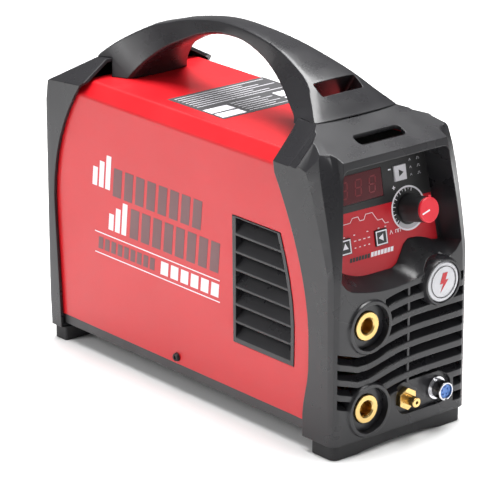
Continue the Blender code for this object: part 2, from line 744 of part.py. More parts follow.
def make_rear_bezel():
    outline = rear_outline(0, FLOOR_GAP)
    outline.append((y_at(HOOD_LIP), HOOD_TOP))
    outline += [(y_at(rear_seam(z)), z) for z in spread(COVER_TOP, FLOOR_GAP, 18)]
    shell = prism("rear_bezel", outline, "X", -BODY_HALF, BODY_HALF, BLACK_PLASTIC)
    plan = rounded(-BODY_HALF, BODY_HALF, y_at(0.2), y_at(BODY_LENGTH), 7 * MM)
    shape(shell, "INTERSECT", prism("rear_plan", plan, "Z", 0, 0.5))
    floor = FLOOR_GAP + WALL
    ahead = y_at(0.25)
    hollow_outline = rear_outline(WALL, floor) + [(ahead, HOOD_TOP - WALL), (ahead, floor)]
    hollow = prism("rear_hollow", hollow_outline, "X", WALL - BODY_HALF, BODY_HALF - WALL)
    for side in (-1, 1):
        cut(shell, rear_shoulder(side, 0, f"rear_shoulder_{side}"))
        cut(hollow, rear_shoulder(side, WALL, f"rear_inner_shoulder_{side}"))
    cut(shell, hollow)
    cut(shell, *rear_vents(), *rear_holes())
    return shell


def rear_vents():
    """Horizontal slots over the fan, left and right of a middle rib, shorter towards the edge of the
    fan's circle."""
    made = []
    count = int(FAN_BORE / VENT_PITCH)
    for i in range(-count + 1, count):
        z = FAN_Z + i * VENT_PITCH
        reach = ((FAN_BORE - 3 * MM) ** 2 - (abs(i) * VENT_PITCH) ** 2) ** 0.5
        for side in (-1, 1):
            ends = sorted((side * 2.5 * MM, side * min(reach, VENT_HALF)))
            made.append(box(f"vent_{i}_{side}", ends, (y_at(BODY_LENGTH - 0.03),
                                                       y_at(BODY_LENGTH + 0.02)),
                            (z - VENT_SLOT / 2, z + VENT_SLOT / 2)))
    return made


def rear_holes():
    through = (y_at(BODY_LENGTH - 0.03), y_at(BODY_LENGTH + 0.03))
    half_x, half_z = SWITCH_HALF
    holes = [box("switch_hole", (SWITCH_X - half_x - GAP, SWITCH_X + half_x + GAP), through,
                 (SWITCH_Z - half_z - GAP, SWITCH_Z + half_z + GAP))]
    rounds = (("gland_hole", GLAND_X, SWITCH_Z, GLAND_RADIUS),
              ("inlet_hole", INLET_X, INLET_Z, INLET_RADIUS))
    for name, x, z, radius in rounds:
        holes.append(rod(name, (x, through[0], z), (x, through[1], z), radius + GAP, sides=24))
    for side in (-1, 1):
        y = y_at(REAR_SCREWS)
        holes.append(rod(f"rear_tray_hole_{side}", (side * 40 * MM, y, 0), (side * 40 * MM, y, 30 * MM),
                         SCREW_SHANK + 0.4 * MM, sides=16))
    return holes


# ---- Cover, tray, feet ----

def make_cover():
    """A folded sheet: two sides, two narrow chamfers and a top, between the bezels."""
    fold = COVER_TOP - COVER_CHAMFER
    profile = [(-COVER_HALF, COVER_BOTTOM), (-COVER_HALF, fold), (COVER_CHAMFER - COVER_HALF, COVER_TOP),
               (COVER_HALF - COVER_CHAMFER, COVER_TOP), (COVER_HALF, fold), (COVER_HALF, COVER_BOTTOM)]
    solid = bmesh.new()
    rows = [[solid.verts.new((x, y, z)) for x, z in profile] for y in (y_at(0), y_at(BODY_LENGTH))]
    for i in range(len(profile) - 1):
        solid.faces.new((rows[0][i], rows[0][i + 1], rows[1][i + 1], rows[1][i]))
    folds = [e for e in solid.edges if len(e.link_faces) == 2]
    bmesh.ops.bevel(solid, geom=folds, offset=2 * MM, segments=3, profile=0.5, affect="EDGES")
    cover = put("cover", mesh_from("cover", solid), RED_PAINT)
    outside = sum((f.normal.z for f in cover.data.polygons if f.center.z > COVER_TOP - MM), 0.0)
    thick = cover.modifiers.new("sheet", "SOLIDIFY")
    thick.thickness = SHEET
    thick.offset = -1 if outside > 0 else 1
    thick.use_even_offset = True
    ahead = [(y_at(-0.05), 0), (y_at(-0.05), 0.4), (y_at(front_seam(0.4) - COVER_LAP), 0.4)]
    ahead += [(y_at(front_seam(z) - COVER_LAP), z) for z in spread(COVER_TOP - 6.5 * MM, 0, 24)]
    behind = [(y_at(BODY_LENGTH + 0.05), 0.4), (y_at(BODY_LENGTH + 0.05), 0)]
    behind += [(y_at(rear_seam(z) + COVER_LAP), z) for z in spread(0, COVER_TOP, 24)]
    behind.append((y_at(rear_seam(0.4) + COVER_LAP), 0.4))
    cut(cover, prism("cover_front_trim", ahead, "X", -0.2, 0.2),
        prism("cover_rear_trim", behind, "X", -0.2, 0.2))
    cut(cover, prism("grille_opening", grille_outline(0), "X", -0.2, 0.2))
    cut(cover, rod("cover_screw_hole", (-0.2, y_at(SCREW_DEPTH), SCREW_HEIGHT),
                   (0.2, y_at(SCREW_DEPTH), SCREW_HEIGHT), SCREW_SHANK + 0.4 * MM, sides=16))
    return cover


def make_base_tray():
    """A folded channel: its floor lies on the bezels' floors and its flanges stand inside the cover."""
    bottom, inner = FLOOR_GAP + WALL + GAP, TRAY_HALF - TRAY_SHEET
    channel = [(-TRAY_HALF, TRAY_FLANGE_TOP), (-TRAY_HALF, bottom), (TRAY_HALF, bottom),
               (TRAY_HALF, TRAY_FLANGE_TOP), (inner, TRAY_FLANGE_TOP), (inner, bottom + TRAY_SHEET),
               (-inner, bottom + TRAY_SHEET), (-inner, TRAY_FLANGE_TOP)]
    tray = prism("base_tray", channel, "Y", y_at(TRAY_START), y_at(TRAY_END), DARK_PAINT)
    for i, x in enumerate((6 * MM - BOARD_HALF, BOARD_HALF - 6 * MM)):
        for j, depth in enumerate(spread(BOARD_START + 8 * MM, BOARD_END - 8 * MM, 3)):
            join(tray, rod(f"standoff_{i}_{j}", (x, y_at(depth), bottom + 0.4 * MM),
                           (x, y_at(depth), BOARD_Z - GAP), 3 * MM, sides=12))
    cut(tray, rod("tray_screw_hole", (-0.2, y_at(SCREW_DEPTH), SCREW_HEIGHT),
                  (0.2, y_at(SCREW_DEPTH), SCREW_HEIGHT), SCREW_SHANK + GAP, sides=16))
    for side in (-1, 1):
        for k, y in enumerate((y_at(FRONT_SCREWS), y_at(REAR_SCREWS))):
            cut(tray, rod(f"tray_bore_{side}_{k}", (side * 40 * MM, y, 0), (side * 40 * MM, y, 30 * MM),
                          SCREW_SHANK + GAP, sides=16))
    return tray


def make_foot(name, start, length, corner):
    outline = rounded(-FOOT_HALF, FOOT_HALF, y_at(start), y_at(start + length), corner)
    foot = prism(name, outline, "Z", 0, FLOOR_GAP - GAP, RUBBER)
    half = FOOT_HALF * 0.64
    radius = (half ** 2 + FOOT_ARCH ** 2) / (2 * FOOT_ARCH)
    middle = y_at(start + length / 2)
    return cut(foot, rod(name + "_arch", (0, middle - 0.05, FOOT_ARCH - radius),
                         (0, middle + 0.05, FOOT_ARCH - radius), radius, sides=256))


def make_screw(name, at, along, length, head=SCREW_HEAD, shank=SCREW_SHANK):
    """A pan-head screw: the head's underside is at a point, and the shank runs on from it."""
    at, along = Vector(at), Vector(along).normalized()
    screw = rod(name, at, at - along * 2.4 * MM, head, STEEL, sides=16, tip=head * 0.8)
    shaft = rod(name + "_shank", at - along * 0.5 * MM, at + along * length, shank, sides=12)
    slot_box = rod(name + "_socket", at - along * 3 * MM, at - along * 1.2 * MM, head * 0.42, sides=6)
    return cut(join(screw, shaft), slot_box)


def make_screws():
    for side, word in ((-1, "left"), (1, "right")):
        make_screw(f"cover_screw_{word}", (side * (COVER_HALF + GAP), y_at(SCREW_DEPTH), SCREW_HEIGHT),
                   (-side, 0, 0), 6 * MM)
        for where, y in (("front", y_at(FRONT_SCREWS)), ("rear", y_at(REAR_SCREWS))):
            top = FLOOR_GAP + WALL + 2 * GAP + TRAY_SHEET
            make_screw(f"tray_screw_{where}_{word}", (side * 40 * MM, y, top), (0, 0, -1), 4.6 * MM)


# ---- Side grilles ----

def grille_outline(inset):
    """The side opening, (y, z): its front edge keeps a margin behind the bezel's seam."""
    heights = spread(GRILLE_BASE + inset, GRILLE_TOP - inset, 7)
    front = [(y_at(front_seam(z) + GRILLE_SETBACK + inset), z) for z in heights]
    rear = [(y_at(GRILLE_REAR - inset), GRILLE_TOP - inset),
            (y_at(GRILLE_REAR - 1.5 * MM - inset), GRILLE_BASE + inset)]
    return front + rear


def make_side_grille(side, word):
    """A louvred insert: it fills the opening and clips behind the sheet with a wider flange."""
    face = COVER_HALF + 0.6 * MM
    behind = COVER_HALF - SHEET - GAP
    back = behind - GRILLE_DEPTH + 2 * MM
    low, high = sorted((side * face, side * back))
    insert = prism(f"side_grille_{word}", grille_outline(GAP), "X", low, high, BLACK_PLASTIC)
    low, high = sorted((side * behind, side * (behind - 1.8 * MM)))
    join(insert, prism(f"grille_flange_{word}", grille_outline(-3 * MM), "X", low, high))
    pitch = (GRILLE_TOP - GRILLE_BASE - GRILLE_FRAME) / GRILLE_SLOTS
    for i in range(GRILLE_SLOTS):
        z = GRILLE_BASE + GRILLE_FRAME + i * pitch
        rings = []
        for x, drop in ((face + 2 * MM, -2 * MM), (back - 2 * MM, pitch)):
            low, high = z + drop, z + drop + pitch - BLADE
            corners = [(front_seam(low) + GRILLE_SETBACK + GRILLE_FRAME, low),
                       (GRILLE_REAR - GRILLE_FRAME - MM, low),
                       (GRILLE_REAR - GRILLE_FRAME - MM, high),
                       (front_seam(high) + GRILLE_SETBACK + GRILLE_FRAME, high)]
            rings.append([(side * x, y_at(depth), height) for depth, height in corners])
        cut(insert, loft(f"grille_slot_{word}_{i}", rings))
    return insert


# ---- Handle ----

def handle_station(place):
    """The handle's station at a place between the given ones, on a smooth curve through them."""
    rows = HANDLE_STATIONS
    i = min(int(place), len(rows) - 2)
    t = place - i
    first, last = max(i - 1, 0), min(i + 2, len(rows) - 1)
    values = []
    for a, b, c, d in zip(rows[first], rows[i], rows[i + 1], rows[last]):
        values.append(0.5 * (2 * b + (c - a) * t + (2 * a - 5 * b + 4 * c - d) * t ** 2
                             + (3 * b - a - 3 * c + d) * t ** 3) * MM)
    return values


def handle_ring(place):
    """One section across the handle: flat sides between a crowned top and a soft belly."""
    outer_depth, outer_height, outer_half, inner_depth, inner_height, inner_half = handle_station(place)
    stretch = BODY_LENGTH - 386.5 * MM
    outer_depth += stretch * place / (len(HANDLE_STATIONS) - 1)
    inner_depth += stretch * place / (len(HANDLE_STATIONS) - 1)
    base = Vector((0, y_at(inner_depth), COVER_TOP + inner_height))
    up = Vector((0, y_at(outer_depth), COVER_TOP + outer_height)) - base
    height = up.length
    up.normalize()
    section = [(0, height + HANDLE_CROWN, outer_half)]
    for share, crown in ((0.5, 0.86), (0.8, 0.5), (0.95, 0.1)):
        section.append((share, height + HANDLE_CROWN * crown, outer_half))
    section += [(1, height - 1.3 * MM, outer_half), (1, 1.3 * MM, inner_half)]
    for share, belly in ((0.94, 0.1), (0.75, 0.55), (0.45, 0.88)):
        section.append((share, -HANDLE_BELLY * belly, inner_half))
    section.append((0, -HANDLE_BELLY, inner_half))
    right = [base + Vector((share * half, 0, 0)) + up * rise for share, rise, half in section]
    left = [Vector((-p.x, p.y, p.z)) for p in right[-2:0:-1]]
    return right + left


def make_handle():
    """An arch from the front bezel's saddle to the cover and the hood, with a strap slot in its front."""
    count = (len(HANDLE_STATIONS) - 1) * HANDLE_STEPS + 1
    rings = [handle_ring(place) for place in spread(0, len(HANDLE_STATIONS) - 1, count)]
    handle = loft("handle", rings, BLACK_PLASTIC)
    hood = HOOD_TOP + GAP
    under = [(y_at(0.2), 0.1), (y_at(0.5), 0.1), (y_at(0.5), hood), (y_at(HOOD_LIP - GAP), hood),
             (y_at(rear_seam(COVER_TOP) - GAP), COVER_TOP + GAP), (y_at(0.2), COVER_TOP + GAP)]
    saddle = [(y_at(0.02), 0.1), (y_at(SADDLE_END + GAP), 0.1),
              (y_at(SADDLE_END + GAP), SADDLE_TOP + GAP),
              (y_at(0.02), SADDLE_TOP + GAP)]
    cut(handle, prism("under_rear", under, "X", -0.1, 0.1), prism("under_front", saddle, "X", -0.1, 0.1))
    strap = rounded(-STRAP_HALF, STRAP_HALF, -STRAP_WIDTH / 2, STRAP_WIDTH / 2, 2.5 * MM, 3)
    slot_tool = prism("handle_strap_slot", strap, "Z", -0.05, 0.05)
    slot_tool.location = (0, y_at(79.9 * MM), COVER_TOP + 41.5 * MM)
    slot_tool.rotation_euler = (radians(35), 0, 0)
    return cut(handle, slot_tool)


# ---- Control panel ----

def panel_frame():
    """An empty on the panel's face: X across, Z up the leaning panel and -Y out of it."""
    frame = bpy.data.objects.new("panel_frame", None)
    CUTTERS.objects.link(frame)
    frame.location = (0, y_at(PANEL_DEPTH), PANEL_Z)
    frame.rotation_euler = (-PANEL_LEAN, 0, 0)
    return frame


PANEL = panel_frame()


def panel_box(name, x, y, z, colour=None):
    return box(name, x, y, z, colour, parent=PANEL)


KEYS = {
    "mode_key": (25.6 * MM, 24.6 * MM),
    "select_key": (-2.2 * MM, -23.6 * MM),
    "up_key": (-41.5 * MM, -23.6 * MM),
}
DISPLAY_X = -19 * MM
DISPLAY_Z = 21.3 * MM


def key_square(x, z, half, y, name, colour=None):
    return panel_box(name, (x - half, x + half), y, (z - half, z + half), colour)


def make_control_panel():
    outline = [(-66 * MM, -56 * MM), (66 * MM, -56 * MM), (66 * MM, -20 * MM), (59 * MM, 52 * MM),
               (-59 * MM, 52 * MM), (-66 * MM, -20 * MM)]
    plate = prism("control_panel", outline, "Y", 0, PANEL_SHEET, BLACK_PLASTIC, parent=PANEL)
    through = (-0.01, 0.01)
    for name, (x, z) in KEYS.items():
        cut(plate, key_square(x, z, KEY_SIZE / 2 + GAP, through, name + "_hole"))
    cut(plate, panel_box("window_hole", (DISPLAY_X - DISPLAY_WIDTH / 2 - GAP,
                                         DISPLAY_X + DISPLAY_WIDTH / 2 + GAP),
                         through, (DISPLAY_Z - DISPLAY_HEIGHT / 2 - GAP,
                                   DISPLAY_Z + DISPLAY_HEIGHT / 2 + GAP)))
    cut(plate, rod("shaft_hole", (DIAL_X, -0.01, DIAL_Z), (DIAL_X, 0.01, DIAL_Z), SHAFT_RADIUS + 1.2 * MM,
                   sides=20, parent=PANEL))
    panel_box("display_window", (DISPLAY_X - DISPLAY_WIDTH / 2, DISPLAY_X + DISPLAY_WIDTH / 2),
              (0.1 * MM, 1.6 * MM),
              (DISPLAY_Z - DISPLAY_HEIGHT / 2, DISPLAY_Z + DISPLAY_HEIGHT / 2), WINDOW)
    panel_box("display_module", (DISPLAY_X - DISPLAY_WIDTH / 2 + 2 * MM,
                                 DISPLAY_X + DISPLAY_WIDTH / 2 - 2 * MM),
              (1.9 * MM, BOARD_SETBACK - GAP), (DISPLAY_Z - 9.5 * MM, DISPLAY_Z + 9.5 * MM), KNOB_PLASTIC)


def make_keys():
    colours = {"mode_key": LIGHT_PLASTIC, "select_key": KNOB_PLASTIC, "up_key": KNOB_PLASTIC}
    for name, (x, z) in KEYS.items():
        key = key_square(x, z, KEY_SIZE / 2, (-KEY_PROUD, PANEL_SHEET - GAP), name, colours[name])
        stem = rod(name + "_stem", (x, MM, z), (x, BOARD_SETBACK - KEY_TRAVEL - 2 * GAP, z), 2.5 * MM,
                   sides=12, parent=PANEL)
        lip = key_square(x, z, KEY_SIZE / 2 + 1.2 * MM, (PANEL_SHEET + GAP, PANEL_SHEET + 1.5 * MM),
                         name + "_lip")
        neck = key_square(x, z, KEY_SIZE / 2 - 0.1 * MM, (0.5 * MM, PANEL_SHEET + MM), name + "_neck")
        join(key, stem, neck, lip)


def make_knob():
    """The knob turns on the potentiometer's shaft, out of the panel's face."""
    base = -1.2 * MM
    tip = base - KNOB_LENGTH
    bore = SHAFT_RADIUS + 0.1 * MM
    bore_end = tip + 5 * MM
    profile = [(bore, base), (KNOB_RADIUS, base), (KNOB_RADIUS, base - 1.5 * MM),
               (KNOB_RADIUS * 0.94, base - 4 * MM),
               (KNOB_RADIUS * 0.88, tip + 0.6 * MM), (KNOB_RADIUS * 0.84, tip), (0, tip)]
    turned("amperage_knob", [(0, bore_end), (bore, bore_end)] + profile, (DIAL_X, 0, DIAL_Z),
           KNOB_PLASTIC, parent=PANEL)
    cap_tip = tip - GAP - CAP_LENGTH
    cap = turned("knob_cap", [(0, tip - GAP), (CAP_RADIUS, tip - GAP), (CAP_RADIUS, cap_tip + 0.7 * MM),
                              (CAP_RADIUS - 0.7 * MM, cap_tip), (0, cap_tip)], (DIAL_X, 0, DIAL_Z),
                              RED_PLASTIC, parent=PANEL)
    fin = box("cap_fin", (CAP_RADIUS - 2 * MM, CAP_RADIUS + 1.4 * MM), (cap_tip + 0.5 * MM, tip - GAP),
              (-1.5 * MM, 1.5 * MM),
              parent=cap)
    fin.rotation_euler = (0, radians(-80), 0)
    fin.location = Vector((CAP_RADIUS - 0.3 * MM, fin.location.y, 0))
    fin.location.rotate(fin.rotation_euler)
    join(cap, fin)
    shaft = [(0, bore_end + GAP), (SHAFT_RADIUS, bore_end + GAP), (SHAFT_RADIUS, BOARD_SETBACK - 9 * MM),
             (0, BOARD_SETBACK - 9 * MM)]
    turned("potentiometer_shaft", shaft, (DIAL_X, 0, DIAL_Z), STEEL, sides=20, parent=PANEL)


def make_control_board():
    half = BOARD_HALF - 9 * MM
    board = panel_box("control_board", (-half, half), (BOARD_SETBACK, BOARD_SETBACK + BOARD),
                      (-40 * MM, 40 * MM), CIRCUIT)
    turned("potentiometer", [(SHAFT_RADIUS + 0.2 * MM, BOARD_SETBACK - 10.5 * MM),
                             (SHAFT_RADIUS + 1.5 * MM, BOARD_SETBACK - 10.5 * MM),
                             (SHAFT_RADIUS + 1.5 * MM, BOARD_SETBACK - 7 * MM),
                             (8 * MM, BOARD_SETBACK - 7 * MM),
                             (8 * MM, BOARD_SETBACK - GAP), (0, BOARD_SETBACK - GAP),
                             (0, BOARD_SETBACK - 8.5 * MM),
                             (SHAFT_RADIUS + 0.2 * MM, BOARD_SETBACK - 8.5 * MM)],
           (DIAL_X, 0, DIAL_Z), STEEL, sides=24, parent=PANEL)
    return board


# ---- Front fittings ----

def make_socket(word, z):
    """A bayonet output socket: a brass body in a black insulator, with a bus bar and a hex nut behind."""
    at = (SOCKET_X, 0, z)
    front = y_at(INSULATOR_DEPTH)
    shoulder = y_at(VENT_WALL + GAP)
    rear = shoulder + 5 * MM
    bore = BRASS_RADIUS + GAP
    face = y_at(BRASS_DEPTH)
    turned(f"{word}_insulator", [(bore, front), (INSULATOR_RADIUS, front), (INSULATOR_RADIUS, shoulder),
                                 (INSULATOR_RADIUS + 1.8 * MM, shoulder),
                                 (INSULATOR_RADIUS + 1.8 * MM, rear), (bore, rear)],
           at, BLACK_PLASTIC, sides=48)
    end = rear + 24 * MM
    deep = face + 24 * MM
    body = turned(f"{word}_socket", [(0, deep), (SOCKET_BORE, deep), (SOCKET_BORE, face + 1.2 * MM),
                                     (SOCKET_BORE + 1.2 * MM, face),
                                     (BRASS_RADIUS - 0.5 * MM, face), (BRASS_RADIUS, face + 0.5 * MM),
                                     (BRASS_RADIUS, rear),
                                     (SOCKET_THREAD, rear), (SOCKET_THREAD, end), (0, end)], at, BRASS,
                                     sides=36)
    cut(body, rod(f"{word}_lock_groove", (SOCKET_X, face + 9 * MM, z), (SOCKET_X, face + 14 * MM, z),
                  SOCKET_BORE + 1.6 * MM, sides=36))
    bar = (rear + GAP, rear + GAP + 2 * MM)
    nut = (bar[1] + GAP, bar[1] + GAP + 7 * MM)
    hexed = prism(f"{word}_socket_nut", hexagon(SOCKET_X, z, 27 * MM), "Y", *nut, BRASS)
    cut(hexed, rod(f"{word}_nut_bore", (SOCKET_X, nut[0] - 0.01, z), (SOCKET_X, nut[1] + 0.01, z),
                   SOCKET_THREAD + GAP, sides=36))
    return bar


def make_bus_bar(word, z, bar, reach_x, reach_y):
    """A copper strip from a socket, up beside it and back over the main board."""
    half = 14 * MM
    x0, x1 = SOCKET_X - half, SOCKET_X + half
    strip = box(f"{word}_bus_bar", (x0, x1), bar, (z - half, z + half), COPPER)
    low, high = sorted((reach_x, SOCKET_X + half))
    join(strip, box(f"{word}_bar_arm", (low - MM, high), bar, (z - 8 * MM, z + 8 * MM)))
    edge = reach_x
    join(strip, box(f"{word}_bar_run", (edge - MM, edge + MM), (bar[0] + 0.2 * MM, reach_y),
                    (z - 7.5 * MM, z + 7.5 * MM)))
    cut(strip, rod(f"{word}_bar_bore", (SOCKET_X, bar[0] - 0.01, z), (SOCKET_X, bar[1] + 0.005, z),
                   SOCKET_THREAD + GAP, sides=36))
    return strip


def make_gas_outlet():
    face = y_at(PAD_DEPTH - GAP)
    hex_front = face - 5 * MM
    tip = y_at(-FRONT_REACH)
    end = y_at(34 * MM)
    body = prism("gas_outlet", hexagon(GAS_X, FITTINGS_Z, GAS_HEX), "Y", hex_front, face, BRASS)
    spigot = turned("gas_spigot", [(0, tip), (GAS_NIPPLE - 0.6 * MM, tip), (GAS_NIPPLE, tip + 0.6 * MM),
                                   (GAS_NIPPLE, face - MM),
                                   (GAS_THREAD, face - MM), (GAS_THREAD, y_at(20 * MM)),
                                   (3 * MM, y_at(20 * MM)),
                                   (3 * MM, end), (0, end)], (GAS_X, 0, FITTINGS_Z), sides=24)
    join(body, spigot)
    cut(body, rod("gas_bore", (GAS_X, tip - 0.01, FITTINGS_Z), (GAS_X, end + 0.01, FITTINGS_Z), GAS_BORE,
                  sides=16))
    nut = (y_at(VENT_WALL + GAP), y_at(VENT_WALL + GAP + 5 * MM))
    hexed = prism("gas_outlet_nut", hexagon(GAS_X, FITTINGS_Z, 15 * MM), "Y", *nut, BRASS)
    cut(hexed, rod("gas_nut_bore", (GAS_X, nut[0] - 0.01, FITTINGS_Z), (GAS_X, nut[1] + 0.01, FITTINGS_Z),
                   GAS_THREAD + GAP, sides=24))


def make_remote_connector():
    """A round panel connector: a chromed shell with a flange, a blue insert with pins, and a hex nut."""
    face = y_at(PAD_DEPTH - GAP)
    tip = y_at(-REMOTE_REACH)
    end = y_at(16 * MM)
    bore = REMOTE_INSERT + GAP
    at = (REMOTE_X, 0, FITTINGS_Z)
    shell = turned("remote_connector_shell", [(bore, tip), (REMOTE_BARREL - 0.5 * MM, tip),
                                              (REMOTE_BARREL, tip + 0.5 * MM),
                                              (REMOTE_BARREL, face - 2 * MM),
                                              (REMOTE_FLANGE, face - 2 * MM), (REMOTE_FLANGE, face),
                                              (REMOTE_BARREL, face), (REMOTE_BARREL, end),
                                              (bore, end)], at, CHROME, sides=36)
    cut(shell, box("shell_key", (REMOTE_X - 1.2 * MM, REMOTE_X + 1.2 * MM), (tip - MM, tip + 2.5 * MM),
                   (FITTINGS_Z - REMOTE_BARREL - MM, FITTINGS_Z - 4 * MM)))
    insert = turned("remote_connector_insert", [(0, tip + 1.8 * MM), (REMOTE_INSERT, tip + 1.8 * MM),
                                                (REMOTE_INSERT, end - 2 * MM), (0, end - 2 * MM)],
                    at, BLUE_PLASTIC, sides=24)
    for i, (x, z) in enumerate(circle(REMOTE_X, FITTINGS_Z, 3.4 * MM, 5, pi / 2)):
        join(insert, rod(f"pin_{i}", (x, tip + 0.6 * MM, z), (x, end + 3 * MM, z), 0.7 * MM, sides=8))
    nut = (y_at(VENT_WALL + GAP), y_at(VENT_WALL + GAP + 3 * MM))
    hexed = prism("remote_connector_nut", hexagon(REMOTE_X, FITTINGS_Z, 20 * MM), "Y", *nut, STEEL)
    cut(hexed, rod("remote_nut_bore", (REMOTE_X, nut[0] - 0.01, FITTINGS_Z),
                   (REMOTE_X, nut[1] + 0.01, FITTINGS_Z), REMOTE_BARREL + GAP, sides=32))


def make_badge():
    turned("badge", [(0, y_at(-3.4 * MM)), (BADGE_RADIUS * 0.5, y_at(-3.3 * MM)),
                     (BADGE_RADIUS - MM, y_at(-2.9 * MM)),
                     (BADGE_RADIUS, y_at(-2.2 * MM)), (BADGE_RADIUS, y_at(-GAP)), (0, y_at(-GAP))],
           (BADGE_X, 0, BADGE_Z), CHROME, sides=40)


# ---- Rear fittings ----

def make_fan():
    y0, y1 = y_at(FAN_START), y_at(FAN_START + FAN_DEPTH)
    outline = rounded(-FAN_HALF, FAN_HALF, FAN_Z - FAN_HALF, FAN_Z + FAN_HALF, 5 * MM, 3)
    frame = prism("fan_frame", outline, "Y", y0, y1, KNOB_PLASTIC)
    cut(frame, rod("fan_bore", (0, y0 - 0.01, FAN_Z), (0, y1 + 0.01, FAN_Z), FAN_BORE, sides=48))
    strut = (y1 - 4 * MM, y1 - 0.5 * MM)
    join(frame, rod("fan_motor_seat", (0, strut[0], FAN_Z), (0, strut[1], FAN_Z), FAN_HUB, sides=32))
    for i in range(3):
        angle = radians(20 + 120 * i)
        reach = (FAN_BORE + FAN_HUB) / 2
        arm = box(f"fan_strut_{i}", (-(FAN_BORE - FAN_HUB) / 2 - 2 * MM,
                                     (FAN_BORE - FAN_HUB) / 2 + 2 * MM),
                  (strut[0] + 0.3 * MM, strut[1] - 0.3 * MM), (-2.5 * MM, 2.5 * MM))
        arm.location = (reach * cos(angle), (strut[0] + strut[1]) / 2, FAN_Z + reach * sin(angle))
        arm.rotation_euler = (0, -angle, 0)
        join(frame, arm)
    hub_front, hub_rear = y0 + 2 * MM - y_at(FAN_START), FAN_DEPTH - 5 * MM
    rotor = turned("fan_rotor", [(0, hub_front), (FAN_HUB - 2 * MM, hub_front),
                                 (FAN_HUB - 0.5 * MM, hub_front + 2 * MM),
                                 (FAN_HUB - 0.5 * MM, hub_rear), (0, hub_rear)], (0, y0, FAN_Z),
                                 KNOB_PLASTIC, sides=28)
    for i in range(FAN_BLADES):
        rings = []
        for radius, pitch in ((FAN_HUB - 3 * MM, 42), (FAN_BORE * 0.68, 32), (FAN_BORE - 2 * MM, 25)):
            chord = Vector((0, sin(radians(pitch)), cos(radians(pitch)))) * 15 * MM
            thick = Vector((0, cos(radians(pitch)), -sin(radians(pitch)))) * 0.9 * MM
            middle = Vector((radius, hub_front + 8.2 * MM, 0))
            chord.y *= 0.62
            rings.append([middle + chord + thick, middle - chord + thick, middle - chord - thick,
                          middle + chord - thick])
        blade = loft(f"blade_{i}", rings, parent=rotor)
        blade.rotation_euler = (0, 2 * pi * i / FAN_BLADES, 0)
        join(rotor, blade)


def make_power_switch():
    """A rocker in its housing: the rocker rests tilted, with its lower end in."""
    half_x, half_z = SWITCH_HALF[0], SWITCH_HALF[1]
    face = rear_clear(SWITCH_Z, half_z + 1.5 * MM)
    housing = box("power_switch_housing", (SWITCH_X - half_x, SWITCH_X + half_x),
                  (face - 28 * MM, face + MM),
                  (SWITCH_Z - half_z, SWITCH_Z + half_z), KNOB_PLASTIC)
    plate = box("switch_plate", (SWITCH_X - half_x - 1.5 * MM, SWITCH_X + half_x + 1.5 * MM),
                (face + 1.2 * MM, face + 3 * MM),
                (SWITCH_Z - half_z - 1.5 * MM, SWITCH_Z + half_z + 1.5 * MM))
    neck = box("switch_neck", (SWITCH_X - half_x, SWITCH_X + half_x), (face - 2 * MM, face + 2 * MM),
               (SWITCH_Z - half_z, SWITCH_Z + half_z))
    join(housing, neck, plate)
    cut(housing, box("rocker_well", (SWITCH_X - half_x + 1.6 * MM, SWITCH_X + half_x - 1.6 * MM),
                     (face - 9 * MM, face + 0.02),
                     (SWITCH_Z - half_z + 1.5 * MM, SWITCH_Z + half_z - 1.5 * MM)))
    reach_x, reach_z = half_x - 2 * MM, half_z - 2 * MM
    outline = [(-reach_x, 1 * MM), (0, 3.4 * MM), (reach_x, 1 * MM), (reach_x, -2 * MM),
               (5 * MM, -6 * MM),
               (-5 * MM, -6 * MM), (-reach_x, -2 * MM)]
    rocker = prism("power_switch_rocker", outline, "Z", -reach_z, reach_z, KNOB_PLASTIC)
    rocker.location = (SWITCH_X, face + 0.5 * MM, SWITCH_Z)
    rocker.rotation_euler = (0, 0, radians(10))


def make_cable_gland():
    """Only the gland: a body through the rear wall and a domed clamping nut, open for a cable."""
    face = rear_clear(SWITCH_Z, 12 * MM)
    at = (GLAND_X, 0, SWITCH_Z)
    body = turned("cable_gland", [(GLAND_BORE, face - 16 * MM), (GLAND_RADIUS, face - 16 * MM),
                                  (GLAND_RADIUS, face),
                                  (12 * MM, face), (12 * MM, face + 5 * MM),
                                  (GLAND_RADIUS, face + 5 * MM), (GLAND_RADIUS, face + 9 * MM),
                                  (GLAND_BORE, face + 9 * MM)], at, KNOB_PLASTIC, sides=24)
    turned("cable_gland_nut", [(GLAND_RADIUS + GAP, face + 5.3 * MM), (11 * MM, face + 5.3 * MM),
                               (11 * MM, face + 11 * MM),
                               (8 * MM, face + 17 * MM), (GLAND_BORE, face + 17 * MM),
                               (GLAND_BORE, face + 9.5 * MM), (GLAND_RADIUS + GAP, face + 9.5 * MM)],
           at, KNOB_PLASTIC, sides=24)
    return body


